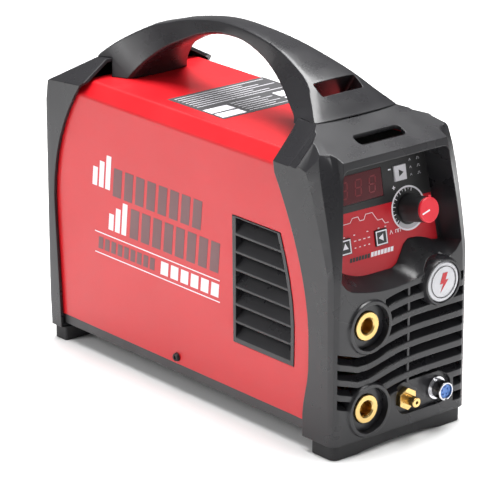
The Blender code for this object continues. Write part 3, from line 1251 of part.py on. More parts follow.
def make_gas_path():
    """Inlet through the rear wall, solenoid valve under the fan, and a hose to the outlet."""
    face = rear_clear(INLET_Z, 8 * MM)
    tip = y_at(BODY_LENGTH + REAR_REACH)
    valve_rear = face - WALL - 2 * GAP - 2 * MM
    valve_front = valve_rear - 30 * MM
    at = (INLET_X, 0, INLET_Z)
    inlet = turned("gas_inlet", [(0, valve_rear - 3 * MM), (2.8 * MM, valve_rear - 3 * MM),
                                 (2.8 * MM, valve_rear + GAP), (INLET_RADIUS, valve_rear + GAP),
                                 (INLET_RADIUS, face),
                                 (8 * MM, face), (8 * MM, face + 4 * MM), (3.6 * MM, face + 4 * MM),
                                 (3.6 * MM, tip - 5 * MM),
                                 (4.4 * MM, tip - 4.5 * MM), (3.4 * MM, tip), (0, tip)], at, BRASS,
                                 sides=24)
    cut(inlet, rod("inlet_bore", (INLET_X, valve_rear - 0.02, INLET_Z), (INLET_X, tip + 0.01, INLET_Z),
                   1.6 * MM, sides=12))
    valve = box("gas_valve", (INLET_X - 9 * MM, INLET_X + 9 * MM), (valve_front, valve_rear),
                (INLET_Z - 9 * MM, INLET_Z + 9 * MM), BRASS)
    coil = rod("valve_coil", (INLET_X - 8 * MM, (valve_front + valve_rear) / 2, INLET_Z),
               (INLET_X - 34 * MM, (valve_front + valve_rear) / 2, INLET_Z), 9.5 * MM, sides=20)
    join(valve, coil)
    cut(valve, rod("valve_port", (INLET_X, valve_rear - 4 * MM, INLET_Z),
                   (INLET_X, valve_rear + 0.01, INLET_Z), 2.8 * MM + GAP, sides=20))
    cut(valve, rod("valve_outlet", (INLET_X, valve_front - 0.01, INLET_Z),
                   (INLET_X, valve_front + 6 * MM, INLET_Z), HOSE_RADIUS + GAP, sides=16))
    side = (BOARD_HALF + TRAY_HALF - TRAY_SHEET) / 2
    low = FLOOR_GAP + WALL + GAP + TRAY_SHEET + HOSE_RADIUS + MM
    knots = [(INLET_X, valve_front + 3 * MM, INLET_Z), (INLET_X, valve_front - 2 * MM, INLET_Z),
             (INLET_X, valve_front - 7 * MM, INLET_Z),
             (INLET_X + 11 * MM, valve_front - 19 * MM, (INLET_Z + low) / 2),
             (side, valve_front - 31 * MM, low), (side, y_at(200 * MM), low), (side, y_at(110 * MM), low),
             (side - 4 * MM, y_at(82 * MM), low + 2 * MM),
             (GAS_X + 12 * MM, y_at(62 * MM), FITTINGS_Z - 4 * MM), (GAS_X, y_at(50 * MM), FITTINGS_Z),
             (GAS_X, y_at(34.6 * MM), FITTINGS_Z)]
    make_tube("gas_hose", smooth_path(knots, 5), HOSE_RADIUS, RUBBER)


def smooth_path(knots, steps):
    """Points along a Catmull-Rom curve through the knots."""
    knots = [Vector(k) for k in knots]
    padded = [2 * knots[0] - knots[1]] + knots + [2 * knots[-1] - knots[-2]]
    path = []
    for a, b, c, d in zip(padded, padded[1:], padded[2:], padded[3:]):
        for i in range(steps):
            t = i / steps
            bend, twist = 2 * a - 5 * b + 4 * c - d, 3 * b - a - 3 * c + d
            path.append(0.5 * (2 * b + (c - a) * t + bend * t ** 2 + twist * t ** 3))
    return path + [knots[-1]]


def make_tube(name, path, radius, colour):
    curve = bpy.data.curves.new(name, "CURVE")
    curve.dimensions = "3D"
    curve.bevel_depth = radius
    curve.bevel_resolution = 2
    curve.use_fill_caps = True
    spline = curve.splines.new("POLY")
    spline.points.add(len(path) - 1)
    for point, place in zip(spline.points, path):
        point.co = (*place, 1)
    curve.materials.append(colour)
    tube = bpy.data.objects.new(name, curve)
    PARTS.objects.link(tube)
    return tube


# ---- Electronics on the main board ----

def make_main_board():
    return box("main_board", (-BOARD_HALF, BOARD_HALF), (y_at(BOARD_START), y_at(BOARD_END)),
               (BOARD_Z, BOARD_Z + BOARD), CIRCUIT)


def make_heat_sink(name, side):
    """An extruded comb: a back along the side of the tunnel and fins towards the middle."""
    back = 4 * MM
    outer = BOARD_HALF - 3 * MM
    inner = outer - SINK_WIDTH
    z0 = BOARD_Z + BOARD + GAP
    count = int(SINK_HEIGHT / FIN_PITCH)
    outline = [(outer, z0), (outer, z0 + (count - 1) * FIN_PITCH + FIN)]
    for i in reversed(range(count)):
        z = z0 + i * FIN_PITCH
        outline += [(inner, z + FIN), (inner, z)]
        if i:
            outline += [(outer - back, z), (outer - back, z - FIN_PITCH + FIN)]
    outline = [(side * x, z) for x, z in outline]
    return prism(name, outline, "Y", y_at(SINK_START), y_at(SINK_START + SINK_LENGTH), ALUMINIUM)


def make_capacitors():
    z0 = BOARD_Z + BOARD + GAP
    for i in range(CAPACITORS):
        y = y_at(SINK_START + 14 * MM + i * (2 * CAPACITOR_RADIUS + 6 * MM))
        can = rod(f"capacitor_{i + 1}", (0, y, z0), (0, y, z0 + CAPACITOR_HEIGHT), CAPACITOR_RADIUS,
                  KNOB_PLASTIC, sides=24)
        groove = rod(f"capacitor_vent_{i}", (0, y, z0 + CAPACITOR_HEIGHT - 0.6 * MM),
                     (0, y, z0 + CAPACITOR_HEIGHT + MM), CAPACITOR_RADIUS - 2 * MM, sides=24)
        cut(can, groove)


def make_transformer():
    """A ferrite core of two windows round a wound bobbin."""
    z0 = BOARD_Z + BOARD + GAP
    y0 = y_at(SINK_START + SINK_LENGTH + 12 * MM)
    core = box("transformer_core", (-32 * MM, 32 * MM), (y0, y0 + 28 * MM), (z0, z0 + 54 * MM), FERRITE)
    for side in (-1, 1):
        low, high = sorted((side * 10 * MM, side * 23 * MM))
        cut(core, box(f"core_window_{side}", (low, high), (y0 - 0.01, y0 + 0.05),
                      (z0 + 9 * MM, z0 + 45 * MM)))
    winding = prism("transformer_winding", rounded(-22 * MM, 22 * MM, y0 - 8 * MM, y0 + 36 * MM, 7 * MM),
                    "Z",
                    z0 + 9.5 * MM, z0 + 44.5 * MM, COPPER)
    cut(winding, box("winding_bore", (-10.3 * MM, 10.3 * MM), (y0 - GAP, y0 + 28 * MM + GAP),
                     (z0, z0 + 0.1)))


def make_ring_coil(name, x, depth, inner, outer, height, colour):
    """A wound ring lying on the board."""
    z0 = BOARD_Z + BOARD + GAP
    bulge = 3 * MM
    profile = [(inner, 0), (outer - bulge, 0), (outer, bulge), (outer, height - bulge),
               (outer - bulge, height), (inner, height)]
    ring = turned(name, profile, (x, y_at(depth), z0), colour, sides=30)
    ring.rotation_euler = (pi / 2, 0, 0)
    return ring


def build():
    make_front_bezel()
    make_rear_bezel()
    make_cover()
    make_base_tray()
    make_foot("front_foot", FRONT_FOOT_START, FRONT_FOOT_LENGTH, FRONT_FOOT_CORNER)
    make_foot("rear_foot", REAR_FOOT_START, REAR_FOOT_LENGTH, REAR_FOOT_CORNER)
    make_screws()
    make_side_grille(-1, "left")
    make_side_grille(1, "right")
    make_handle()
    make_control_panel()
    make_keys()
    make_knob()
    make_control_board()
    bar = make_socket("upper", HIGH_SOCKET_Z)
    make_socket("lower", LOW_SOCKET_Z)
    make_bus_bar("upper", HIGH_SOCKET_Z, bar, SOCKET_X - 17.5 * MM, y_at(SINK_START + 20 * MM))
    make_bus_bar("lower", LOW_SOCKET_Z, bar, SOCKET_X + 17.5 * MM, y_at(BOARD_START - 4 * MM))
    make_gas_outlet()
    make_remote_connector()
    make_badge()
    make_fan()
    make_power_switch()
    make_cable_gland()
    make_gas_path()
    make_main_board()
    make_heat_sink("primary_heat_sink", -1)
    make_heat_sink("secondary_heat_sink", 1)
    make_capacitors()
    make_transformer()
    make_ring_coil("output_choke", 28 * MM, 118 * MM, 9 * MM, 28 * MM, 26 * MM, COPPER)
    make_ring_coil("arc_start_coil", -30 * MM, 122 * MM, 7 * MM, 22 * MM, 22 * MM, FERRITE)


build()
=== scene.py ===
"""The looks of a portable TIG welder: materials, printed panels, stage, lights and camera."""

import json
from math import cos, pi, radians, sin

import bmesh
import bpy
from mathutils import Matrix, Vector


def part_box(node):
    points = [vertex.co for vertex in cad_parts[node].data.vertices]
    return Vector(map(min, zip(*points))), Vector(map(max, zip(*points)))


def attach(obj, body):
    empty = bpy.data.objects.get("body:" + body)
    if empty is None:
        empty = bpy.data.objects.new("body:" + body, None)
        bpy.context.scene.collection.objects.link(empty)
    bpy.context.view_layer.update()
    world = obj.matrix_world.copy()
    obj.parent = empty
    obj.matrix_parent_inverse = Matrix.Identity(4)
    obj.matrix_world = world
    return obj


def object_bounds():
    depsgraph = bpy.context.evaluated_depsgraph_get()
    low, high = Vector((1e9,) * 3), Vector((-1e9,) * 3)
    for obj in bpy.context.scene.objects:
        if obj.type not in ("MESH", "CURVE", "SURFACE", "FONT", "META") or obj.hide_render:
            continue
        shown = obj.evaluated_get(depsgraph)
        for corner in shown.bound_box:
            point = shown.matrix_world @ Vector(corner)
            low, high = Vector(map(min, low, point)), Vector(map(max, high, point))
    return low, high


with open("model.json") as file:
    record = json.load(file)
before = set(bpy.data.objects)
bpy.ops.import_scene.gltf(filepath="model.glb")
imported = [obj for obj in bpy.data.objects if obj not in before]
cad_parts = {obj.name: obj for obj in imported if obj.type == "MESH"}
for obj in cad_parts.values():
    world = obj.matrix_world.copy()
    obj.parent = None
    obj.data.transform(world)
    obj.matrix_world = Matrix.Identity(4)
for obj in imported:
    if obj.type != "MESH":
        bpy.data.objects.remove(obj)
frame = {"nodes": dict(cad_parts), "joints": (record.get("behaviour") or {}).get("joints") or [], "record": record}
CAD_BOX = [list(corner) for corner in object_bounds()]

MM = 0.001

# ---- Places taken from the frame ----

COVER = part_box("cover")
COVER_TOP = COVER[1].z
COVER_SIDE = COVER[1].x
COVER_FRONT = COVER[0].y
BADGE_LOW, BADGE_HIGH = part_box("badge")
BADGE_CENTRE = (BADGE_LOW + BADGE_HIGH) / 2
KNOB_AXIS = next(joint for joint in frame["joints"] if joint["name"] == "current_knob_turn")
PANEL_OUT = Vector(KNOB_AXIS["axis"])
PANEL_ACROSS = Vector((1, 0, 0))
PANEL_UP = PANEL_ACROSS.cross(-PANEL_OUT).normalized()
DIAL = (31 * MM, -6 * MM)
DIAL_U, DIAL_W = DIAL[0] / MM, DIAL[1] / MM
PANEL_ORIGIN = Vector(KNOB_AXIS["pos_m"]) - PANEL_ACROSS * DIAL[0] - PANEL_UP * DIAL[1]

# ---- Sizes of the prints; sizes without MM are millimetres along a printed face ----

PRINT = 0.12 * MM
PRINT_GAP = 0.03 * MM
SECOND_LAYER = PRINT + 0.05 * MM
DIAL_LAYER = PRINT + 0.08 * MM
KEY_FACE = 1.4 * MM
CAP_FACE = 26.1 * MM
WINDOW_FACE = 0.75 * MM
DIGIT_THICK = 0.08 * MM
KEYS = {"mode_key": (25.6, 24.6), "select_key": (-2.2, -23.6), "up_key": (-41.5, -23.6)}
KEY_TURNS = {"mode_key": 0, "select_key": 180, "up_key": 90}
KEY_HALF = 6.7
KEY_BORDER_HALF = 5.9
KEY_ARROW = 3.4
WINDOW = (-44.4, 6.4, 9.2, 33.4)
FIELD_LEFT, FIELD_RIGHT, FIELD_TOP = -58, 57, 50
DIAL_BORE, DIAL_EDGE = 7, 17
DIAL_RING = (17.1, 18.6)
DIAL_BAND = (13.6, 17.0)
DIAL_BAND_ANGLES = (222, 318)
TICK_OUTER = 16.9
TICK_FIRST, TICK_STEP, TICKS = 215, 12, 13
POINTER_ANGLE, POINTER_LENGTH, POINTER_WIDTH = 194, 8.6, 1.3
DIGIT_TALL, DIGIT_WIDE, DIGIT_BAR, DIGIT_LEAN, DIGIT_GAP = 13.0, 7.4, 1.1, 0.12, 0.35
DIGIT_AT, DIGIT_PITCH, DIGITS = (-39.5, 14.8), 15.2, 3
BADGE_RING = (13.2, 13.9)
BADGE_BOLT = [(-1.2, 8), (4.2, 8), (1.6, 1.8), (5.2, 1.8), (-3.6, -8.6), (-0.6, -1.2), (-4.4, -1.2)]
PULSE_LINE = [(-50, -13), (-46, -13), (-41, -5.4), (-33, -5.4), (-30, -2), (-24, -2), (-22.4, -5.6),
              (-18, -5.6), (-15.6, -1.6), (-8.5, -1.6), (-3.5, -9), (1.5, -9), (4, -13), (8, -13)]
COVER_PRINT_LEAD = 19.6 * MM
BAR_LEAN = -0.1

# ---- Shading, stage, lights and camera ----

# How far in from the sides and how far below the top the cover's inside gets painted shade
INSIDE_SHADE_MARGIN = 0.6 * MM
INSIDE_SHADE_DROP = 12 * MM
CREASE = 26
CREASES = {"handle": 34}
WELD_REACH = 0.005 * MM
FLOOR_DROP = 0.2 * MM
FLOOR_SIZE = 30
WORLD_STRENGTH = 0.3
LIGHT_AIM = (0, 0, 0.15)
LIGHTS = (
    ("key", (-2.2, 0.9, 1.3), (1.0, 1.4), 24),
    ("overhead", (0.3, 0.2, 2.3), (1.7, 1.7), 135),
    ("front_fill", (0.9, -2.3, 1.5), (0.6, 1.0), 12),
)
CAMERA_AT = (-1.621616, -1.931662, 0.997775)
CAMERA_TURN, CAMERA_TILT = 40.1, 19.12
CAMERA_SENSOR, CAMERA_LENS, CAMERA_REACH = 36, 223.85, 100


# ---- Materials ----

class Nodes:
    """A material's node tree, with one short call for each kind of node that the finishes share."""

    def __init__(self, material):
        self.material = material
        self.material.use_nodes = True
        self.tree = self.material.node_tree
        self.shader = next(n for n in self.tree.nodes if n.type == "BSDF_PRINCIPLED")

    def add(self, kind, **values):
        node = self.tree.nodes.new(kind)
        for key, value in values.items():
            setattr(node, key, value)
        return node

    def link(self, source, target):
        self.tree.links.new(source, target)

    def feed(self, socket, value):
        """Gives a socket another node's output, a colour or a number."""
        if isinstance(value, bpy.types.NodeSocket):
            self.link(value, socket)
        else:
            socket.default_value = (*value, 1) if isinstance(value, tuple) else value

    def place(self):
        return self.add("ShaderNodeTexCoord").outputs["Object"]

    def noise(self, scale, detail, stretch=None):
        node = self.add("ShaderNodeTexNoise")
        node.inputs["Scale"].default_value = scale
        node.inputs["Detail"].default_value = detail
        source = self.place()
        if stretch:
            mapping = self.add("ShaderNodeMapping")
            mapping.inputs["Scale"].default_value = stretch
            self.link(source, mapping.inputs["Vector"])
            source = mapping.outputs["Vector"]
        self.link(source, node.inputs["Vector"])
        return node.outputs["Fac"]

    def ramp(self, source, low, high):
        """Spreads the middle of a noise from low to high."""
        node = self.add("ShaderNodeMapRange")
        node.inputs["From Min"].default_value = 0.3
        node.inputs["From Max"].default_value = 0.7
        node.inputs["To Min"].default_value = low
        node.inputs["To Max"].default_value = high
        self.link(source, node.inputs["Value"])
        return node.outputs["Result"]

    def math(self, operation, first, second=0.0):
        node = self.add("ShaderNodeMath", operation=operation)
        for socket, value in zip(node.inputs, (first, second)):
            self.feed(socket, value)
        return node.outputs[0]

    def mix(self, factor, first, second):
        node = self.add("ShaderNodeMix", data_type="RGBA")
        self.link(factor, node.inputs["Factor"])
        self.feed(node.inputs[6], first)
        self.feed(node.inputs[7], second)
        return node.outputs[2]

    def rounding(self, radius):
        bevel = self.add("ShaderNodeBevel", samples=8)
        bevel.inputs["Radius"].default_value = radius
        return bevel.outputs["Normal"]

    def bump(self, height, strength, distance, normal):
        node = self.add("ShaderNodeBump")
        node.inputs["Strength"].default_value = strength
        node.inputs["Distance"].default_value = distance
        self.link(height, node.inputs["Height"])
        self.link(normal, node.inputs["Normal"])
        return node.outputs["Normal"]

    def set(self, **values):
        for key, value in values.items():
            self.shader.inputs[key.replace("_", " ")].default_value = value


MATERIALS = {}


def finish(name, colour, second, rough, metal=0.0, grain=900, grain_depth=0.02, radius=0.5,
           stretch=None, coat=0.0, specular=0.5):
    """A surface with colour that drifts a little, a fine grain and softened edges.

    The grain's depth and the edges' radius are in millimetres."""
    nodes = Nodes(bpy.data.materials.new(name))
    drift = nodes.ramp(nodes.noise(14, 4), 0.0, 1.0)
    nodes.link(nodes.mix(drift, colour, second), nodes.shader.inputs["Base Color"])
    nodes.link(nodes.ramp(nodes.noise(35, 5), *rough), nodes.shader.inputs["Roughness"])
    fine = nodes.noise(grain, 2, stretch)
    uneven = nodes.bump(fine, 0.6, grain_depth * MM, nodes.rounding(radius * MM))
    nodes.link(uneven, nodes.shader.inputs["Normal"])
    nodes.set(Metallic=metal, Specular_IOR_Level=specular)
    if coat:
        nodes.set(Coat_Weight=coat, Coat_Roughness=0.12)
    MATERIALS[name] = nodes.material


def grey(value, cool=1.04):
    return (value, value * 0.98, value * cool)


def make_plastics_and_paints():
    finish("red_enamel", (0.5, 0.004, 0.009), (0.54, 0.005, 0.011), (0.32, 0.4), grain=260,
           grain_depth=0.002, radius=1.2, coat=0.12)
    finish("dark_enamel", grey(0.035), grey(0.045), (0.4, 0.55), grain=600)
    finish("black_plastic", grey(0.013, 1.12), grey(0.018, 1.12), (0.24, 0.34), grain=700,
           grain_depth=0.002, radius=0.9, specular=0.42)
    finish("foot_rubber", grey(0.018), grey(0.026), (0.7, 0.85), grain=1100, grain_depth=0.05)
    finish("knob_plastic", grey(0.016), grey(0.022), (0.4, 0.55), grain=1500, radius=0.4)
    finish("red_cap", (0.62, 0.014, 0.03), (0.66, 0.018, 0.034), (0.3, 0.4), radius=0.4)
    finish("light_key", grey(0.55), grey(0.62), (0.4, 0.5), radius=0.4)
    finish("dark_key", grey(0.02), grey(0.028), (0.4, 0.5), radius=0.4)
    finish("circuit_board", (0.02, 0.12, 0.05), (0.03, 0.16, 0.06), (0.4, 0.6), grain=500)
    finish("module_black", grey(0.02), grey(0.03), (0.45, 0.6))
    finish("blue_insert", (0.06, 0.17, 0.5), (0.08, 0.21, 0.56), (0.3, 0.4), radius=0.3)
    finish("hose", (0.02, 0.05, 0.2), (0.03, 0.07, 0.25), (0.35, 0.5))
    finish("window_red", (0.075, 0.008, 0.012), (0.09, 0.01, 0.015), (0.08, 0.14), grain=300,
           grain_depth=0.004, radius=0.3, coat=0.5)


def make_metals():
    finish("brass_metal", (0.6, 0.41, 0.15), (0.7, 0.49, 0.2), (0.2, 0.36), 1.0, grain=700,
           stretch=(1, 6, 1), radius=0.4)
    finish("chrome_metal", (0.5, 0.5, 0.52), (0.6, 0.6, 0.62), (0.12, 0.24), 1.0, grain=600,
           stretch=(1, 5, 1), radius=0.4)
    finish("badge_metal", (0.4, 0.4, 0.42), (0.48, 0.48, 0.5), (0.3, 0.45), 0.6,
           stretch=(8, 1, 1), radius=0.4)
    finish("zinc_steel", (0.5, 0.5, 0.52), (0.6, 0.6, 0.62), (0.28, 0.42), 1.0, radius=0.3)
    finish("black_screw", grey(0.02), grey(0.03), (0.35, 0.5), 0.6, radius=0.3)
    finish("copper_metal", (0.7, 0.3, 0.16), (0.78, 0.36, 0.2), (0.3, 0.45), 1.0, grain=300)
    finish("heat_sink", (0.7, 0.7, 0.71), (0.78, 0.78, 0.79), (0.35, 0.5), 1.0, stretch=(1, 0.1, 1))
    finish("ferrite", grey(0.04), grey(0.06), (0.6, 0.75))


def make_inks():
    ink = {"grain": 1500, "radius": 0.02}
    film = {"grain": 1800, "radius": 0.02}
    finish("white_print", grey(0.72), grey(0.8), (0.4, 0.5), **ink)
    finish("grey_print", grey(0.4), grey(0.46), (0.4, 0.5), **ink)
    finish("red_grey_print", (0.13, 0.05, 0.055), (0.15, 0.06, 0.065), (0.4, 0.5), **ink)
    finish("dark_print", grey(0.05), grey(0.06), (0.4, 0.5), **ink)
    finish("black_film", grey(0.012), grey(0.017), (0.3, 0.42), **film)
    finish("red_film", (0.43, 0.004, 0.012), (0.48, 0.006, 0.015), (0.32, 0.42), **film)
    finish("glow_red", (0.17, 0.018, 0.024), (0.2, 0.022, 0.03), (0.2, 0.3), radius=0.02)


def paint_shade_inside(material):
    """Paints shade on the inside of the cover's walls: inside the sides and below the shoulder, the red enamel
    gives way to a near-black painted shade.
    """
    nodes = Nodes(material)
    split = nodes.add("ShaderNodeSeparateXYZ")
    nodes.link(nodes.place(), split.inputs[0])
    distance = nodes.math("ABSOLUTE", split.outputs["X"])
    within = nodes.math("LESS_THAN", distance, COVER_SIDE - INSIDE_SHADE_MARGIN)
    below = nodes.math("LESS_THAN", split.outputs["Z"], COVER_TOP - INSIDE_SHADE_DROP)
    enamel = nodes.shader.inputs["Base Color"].links[0].from_socket
    # grey(0.02) is painted shade: a near-black that stands in for the shadow inside the cover
    colour = nodes.mix(nodes.math("MULTIPLY", within, below), enamel, grey(0.02))
    nodes.link(colour, nodes.shader.inputs["Base Color"])


def dress_nodes():
    """Each CAD node takes the finish of its material slot, and shades smooth across its soft edges."""
    # the cover's inside gets painted shade, a near-black in place of its red
    paint_shade_inside(MATERIALS["red_enamel"])
    slots = {part["node"]: part["material_slot"] for part in frame["record"]["subparts"]}
    for name, node in frame["nodes"].items():
        material = MATERIALS["black_screw" if name.startswith("cover_screw") else slots[name]]
        if not len(node.data.materials):
            node.data.materials.append(material)
        for i in range(len(node.data.materials)):
            node.data.materials[i] = material
        if "custom_normal" in node.data.attributes:
            node.data.attributes.remove(node.data.attributes["custom_normal"])
        node.data.shade_smooth()
        weld = node.modifiers.new("weld", "WELD")
        weld.merge_threshold = WELD_REACH
        split = node.modifiers.new("sharp_edges", "EDGE_SPLIT")
        split.split_angle = radians(CREASES.get(name, CREASE))
        even = node.modifiers.new("even_shading", "WEIGHTED_NORMAL")
        even.weight = 70


# ---- Printed faces: each gives a point from two places along the face and one out of it ----

def panel_point(u, w, out):
    """A point on the leaning control panel, u across it and w up it."""
    return PANEL_ORIGIN + PANEL_ACROSS * u * MM + PANEL_UP * w * MM + PANEL_OUT * out


def top_point(x, y, out):
    return Vector((x * MM, y * MM, COVER_TOP + out))


def left_point(y, z, out):
    return Vector((-COVER_SIDE - out, y * MM, z * MM))


def right_point(y, z, out):
    return Vector((COVER_SIDE + out, y * MM, z * MM))


def badge_point(u, v, out):
    return Vector((BADGE_CENTRE.x + u * MM, BADGE_LOW.y - out, BADGE_CENTRE.z + v * MM))


# ---- Outlines ----

def rectangle(u0, u1, v0, v1):
    return [(u0, v0), (u1, v0), (u1, v1), (u0, v1)]


def square(u, v, half):
    return rectangle(u - half, u + half, v - half, v + half)


def slanted(u, v, wide, tall, lean=0.25):
    return [(u, v), (u + wide, v), (u + wide + tall * lean, v + tall), (u + tall * lean, v + tall)]


def bar_row(start, pitch, count, low, wide, tall, shorter=0):
    """Leaning bars in a row, each one shorter than the one before it by the same amount."""
    return [slanted(start + i * pitch, low, wide, tall - i * shorter, BAR_LEAN) for i in range(count)]


def polar(u, v, radius, angle):
    return (u + radius * cos(angle), v + radius * sin(angle))


def triangle(u, w, size, turn):
    return [polar(u, w, size, radians(turn + k * 120)) for k in range(3)]


def sector(u, v, inner, outer, start, end, count):
    """Part of a ring, from one angle to another in degrees."""
    steps = [radians(start + (end - start) * i / count) for i in range(count + 1)]
    return [polar(u, v, outer, a) for a in steps] + [polar(u, v, inner, a) for a in reversed(steps)]


def ring(u, v, inner, outer, count):
    """A whole ring, as two halves."""
    return [sector(u, v, inner, outer, start, start + 180, count) for start in (-90, 90)]


def stroke(points, width):
    """A line of even width through points, as one outline."""
    left, right = [], []
    for i, point in enumerate(points):
        here = Vector(point)
        before = (here - Vector(points[i - 1])).normalized() if i else None
        after = (Vector(points[i + 1]) - here).normalized() if i + 1 < len(points) else None
        along = ((before or after) + (after or before)).normalized()
        side = Vector((-along.y, along.x))
        reach = width / 2 / max(side.dot(Vector((-(after or before).y, (after or before).x))), 0.4)
        left.append(tuple(here + side * reach))
        right.append(tuple(here - side * reach))
    return left + right[::-1]


# ---- Prints ----

def print_on(name, place, shapes, ink, body="machine", base=PRINT_GAP, thick=PRINT, holes=()):
    """A thin closed slab for each outline of points on a face; holes are cut in the first one."""
    mesh = bpy.data.meshes.new(name)
    build = bmesh.new()
    for i, outline in enumerate(shapes):
        loops = [outline] + (list(holes) if i == 0 else [])
        edges = []
        for loop in loops:
            points = [build.verts.new(place(u, v, base)) for u, v in loop]
            edges += [build.edges.new((a, b)) for a, b in zip(points, points[1:] + points[:1])]
        faces = bmesh.ops.triangle_fill(build, edges=edges, use_beauty=True, use_dissolve=False)["geom"]
        faces = [f for f in faces if isinstance(f, bmesh.types.BMFace)]
        lifted = bmesh.ops.extrude_face_region(build, geom=faces, use_keep_orig=True)["geom"]
        rise = place(0, 0, thick) - place(0, 0, 0)
        bmesh.ops.translate(build, verts=[v for v in lifted if isinstance(v, bmesh.types.BMVert)], vec=rise)
    bmesh.ops.recalc_face_normals(build, faces=build.faces)
    build.to_mesh(mesh)
    build.free()
    piece = bpy.data.objects.new(name, mesh)
    bpy.context.scene.collection.objects.link(piece)
    mesh.materials.append(MATERIALS[ink])
    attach(piece, body)


def border(u):
    """The height of the line between the panel's black and red fields."""
    return 3.4 - 0.014 * (u + 45)


def print_fields():
    play, select, up = [square(u, w, KEY_HALF) for u, w in KEYS.values()]
    knob_hole = [polar(DIAL_U, DIAL_W, DIAL_BORE, 2 * pi * i / 40) for i in range(40)]
    left, right = border(FIELD_LEFT), border(FIELD_RIGHT)
    upper = [(FIELD_LEFT, left), (FIELD_RIGHT, right), (FIELD_RIGHT, FIELD_TOP), (FIELD_LEFT, FIELD_TOP)]
    lower = [(-62, -55), (60, -55), (FIELD_RIGHT, right - 0.05), (FIELD_LEFT, left - 0.05)]
    print_on("panel_upper_field", panel_point, [upper], "black_film", holes=[rectangle(*WINDOW), play])
    print_on("panel_lower_field", panel_point, [lower], "red_film", holes=[select, up, knob_hole])


def print_dial():
    print_on("dial_field", panel_point, ring(DIAL_U, DIAL_W, DIAL_BORE, DIAL_EDGE, 40), "black_film",
             base=PRINT + PRINT_GAP, thick=0.03 * MM)
    print_on("dial_ring", panel_point, ring(DIAL_U, DIAL_W, *DIAL_RING, 40), "white_print",
             base=DIAL_LAYER)
    ticks = []
    for i in range(TICKS):
        angle = TICK_FIRST - i * TICK_STEP
        reach, half = (1.5, 0.8) if i % 2 else (2.6, 1.3)
        ticks.append(sector(DIAL_U, DIAL_W, TICK_OUTER - reach, TICK_OUTER, angle - half, angle + half, 4))
    print_on("dial_ticks", panel_point, ticks, "white_print", base=DIAL_LAYER)
    band = sector(DIAL_U, DIAL_W, *DIAL_BAND, *DIAL_BAND_ANGLES, 24)
    print_on("dial_band", panel_point, [band], "grey_print", base=DIAL_LAYER)


def print_upper_symbols():
    """A dash and a plus beside the mode key, and three pairs of small waveforms."""
    marks = [rectangle(13.6, 16.4, 28.6, 29.6), rectangle(15.9, 19.1, 12.9, 13.8),
             rectangle(17.05, 17.95, 13.85, 15.0), rectangle(17.05, 17.95, 11.7, 12.85)]
    print_on("upper_symbols", panel_point, marks, "white_print", base=SECOND_LAYER)
    waves = []
    for i in range(3):
        middle = 33 - i * 6.2
        low, high = middle - 0.8, middle + 0.8
        waves.append(stroke([(37, low), (38, high), (39, low)], 0.4))
        waves.append(stroke([(45, low), (46, low), (46, high), (47.6, high), (47.6, low), (48.6, low)], 0.4))
    print_on("mode_symbols", panel_point, waves, "grey_print", base=SECOND_LAYER)


def print_lower_symbols():
    """The welding current's rise and fall, and the marks and bars under it."""
    shapes = [stroke(PULSE_LINE, 0.45)]
    for u in (-41, -30, -15.6, -3.5, 4):
        shapes.append(rectangle(u - 0.9, u + 0.9, -16.2, -15.4))
    shapes.append(stroke([(8, -23.5), (9.6, -20.5), (11.2, -23.5)], 0.5))
    for u in (14.5, 17.5):
        shapes.append(stroke([(u, -23.4), (u, -20.8), (u + 2.2, -20.8), (u + 2.2, -23.4)], 0.5))
    for u in (-31, -26, -21, -16):
        shapes.append(rectangle(u, u + 2.4, -21.2, -20.5))
        shapes.append(rectangle(u, u + 1.6, -26.8, -26.1))
    print_on("lower_symbols", panel_point, shapes, "white_print", base=SECOND_LAYER)
    dark = [slanted(-38 + i * 3.2, -37.4, 2.5, 3.4) for i in range(7)]
    light = [slanted(-15 + i * 3.6, -37.4, 2.8, 3.8) for i in range(7)]
    print_on("panel_dark_bars", panel_point, dark, "black_film", base=SECOND_LAYER)
    print_on("panel_light_bars", panel_point, light, "white_print", base=SECOND_LAYER)


def key_border(u, w):
    """A square frame 1 mm wide, as four bars that don't touch."""
    left, right = u - KEY_BORDER_HALF, u + KEY_BORDER_HALF
    low, high = w - KEY_BORDER_HALF, w + KEY_BORDER_HALF
    return [rectangle(left, right, high - 1, high), rectangle(left, right, low, low + 1),
            rectangle(left, left + 1, low + 1.02, high - 1.02),
            rectangle(right - 1, right, low + 1.02, high - 1.02)]


def print_keys():
    """An arrow on each key: dark on the pale mode key, and pale in a pale border on the dark ones."""
    base = KEY_FACE + 0.05 * MM
    for name, (u, w) in KEYS.items():
        ink = "black_film" if name == "mode_key" else "white_print"
        arrow = triangle(u, w, KEY_ARROW, KEY_TURNS[name])
        print_on(f"{name}_arrow", panel_point, [arrow], ink, name, base)
        if name != "mode_key":
            print_on(f"{name}_border", panel_point, key_border(u, w), ink, name, base)


def print_pointer():
    tip = polar(DIAL_U, DIAL_W, POINTER_LENGTH, radians(POINTER_ANGLE))
    print_on("knob_pointer", panel_point, [stroke([(DIAL_U, DIAL_W), tip], POINTER_WIDTH)], "white_print",
             "current_knob", CAP_FACE + 0.02 * MM)


def digit_segments(u, w):
    """The seven bars of one unlit digit."""
    half, bar = DIGIT_TALL / 2, DIGIT_BAR
    bars = []
    for v in (0, half, DIGIT_TALL):
        bars.append(slanted(u + bar + v * DIGIT_LEAN, w + v - bar / 2, DIGIT_WIDE - 2 * bar, bar,
                            DIGIT_LEAN))
    for side in (0, DIGIT_WIDE - bar):
        for v in (0, half):
            start = u + side + (v + DIGIT_GAP) * DIGIT_LEAN
            bars.append(slanted(start, w + v + bar / 2 + DIGIT_GAP - 0.2, bar, half - bar - DIGIT_GAP,
                                DIGIT_LEAN))
    return bars


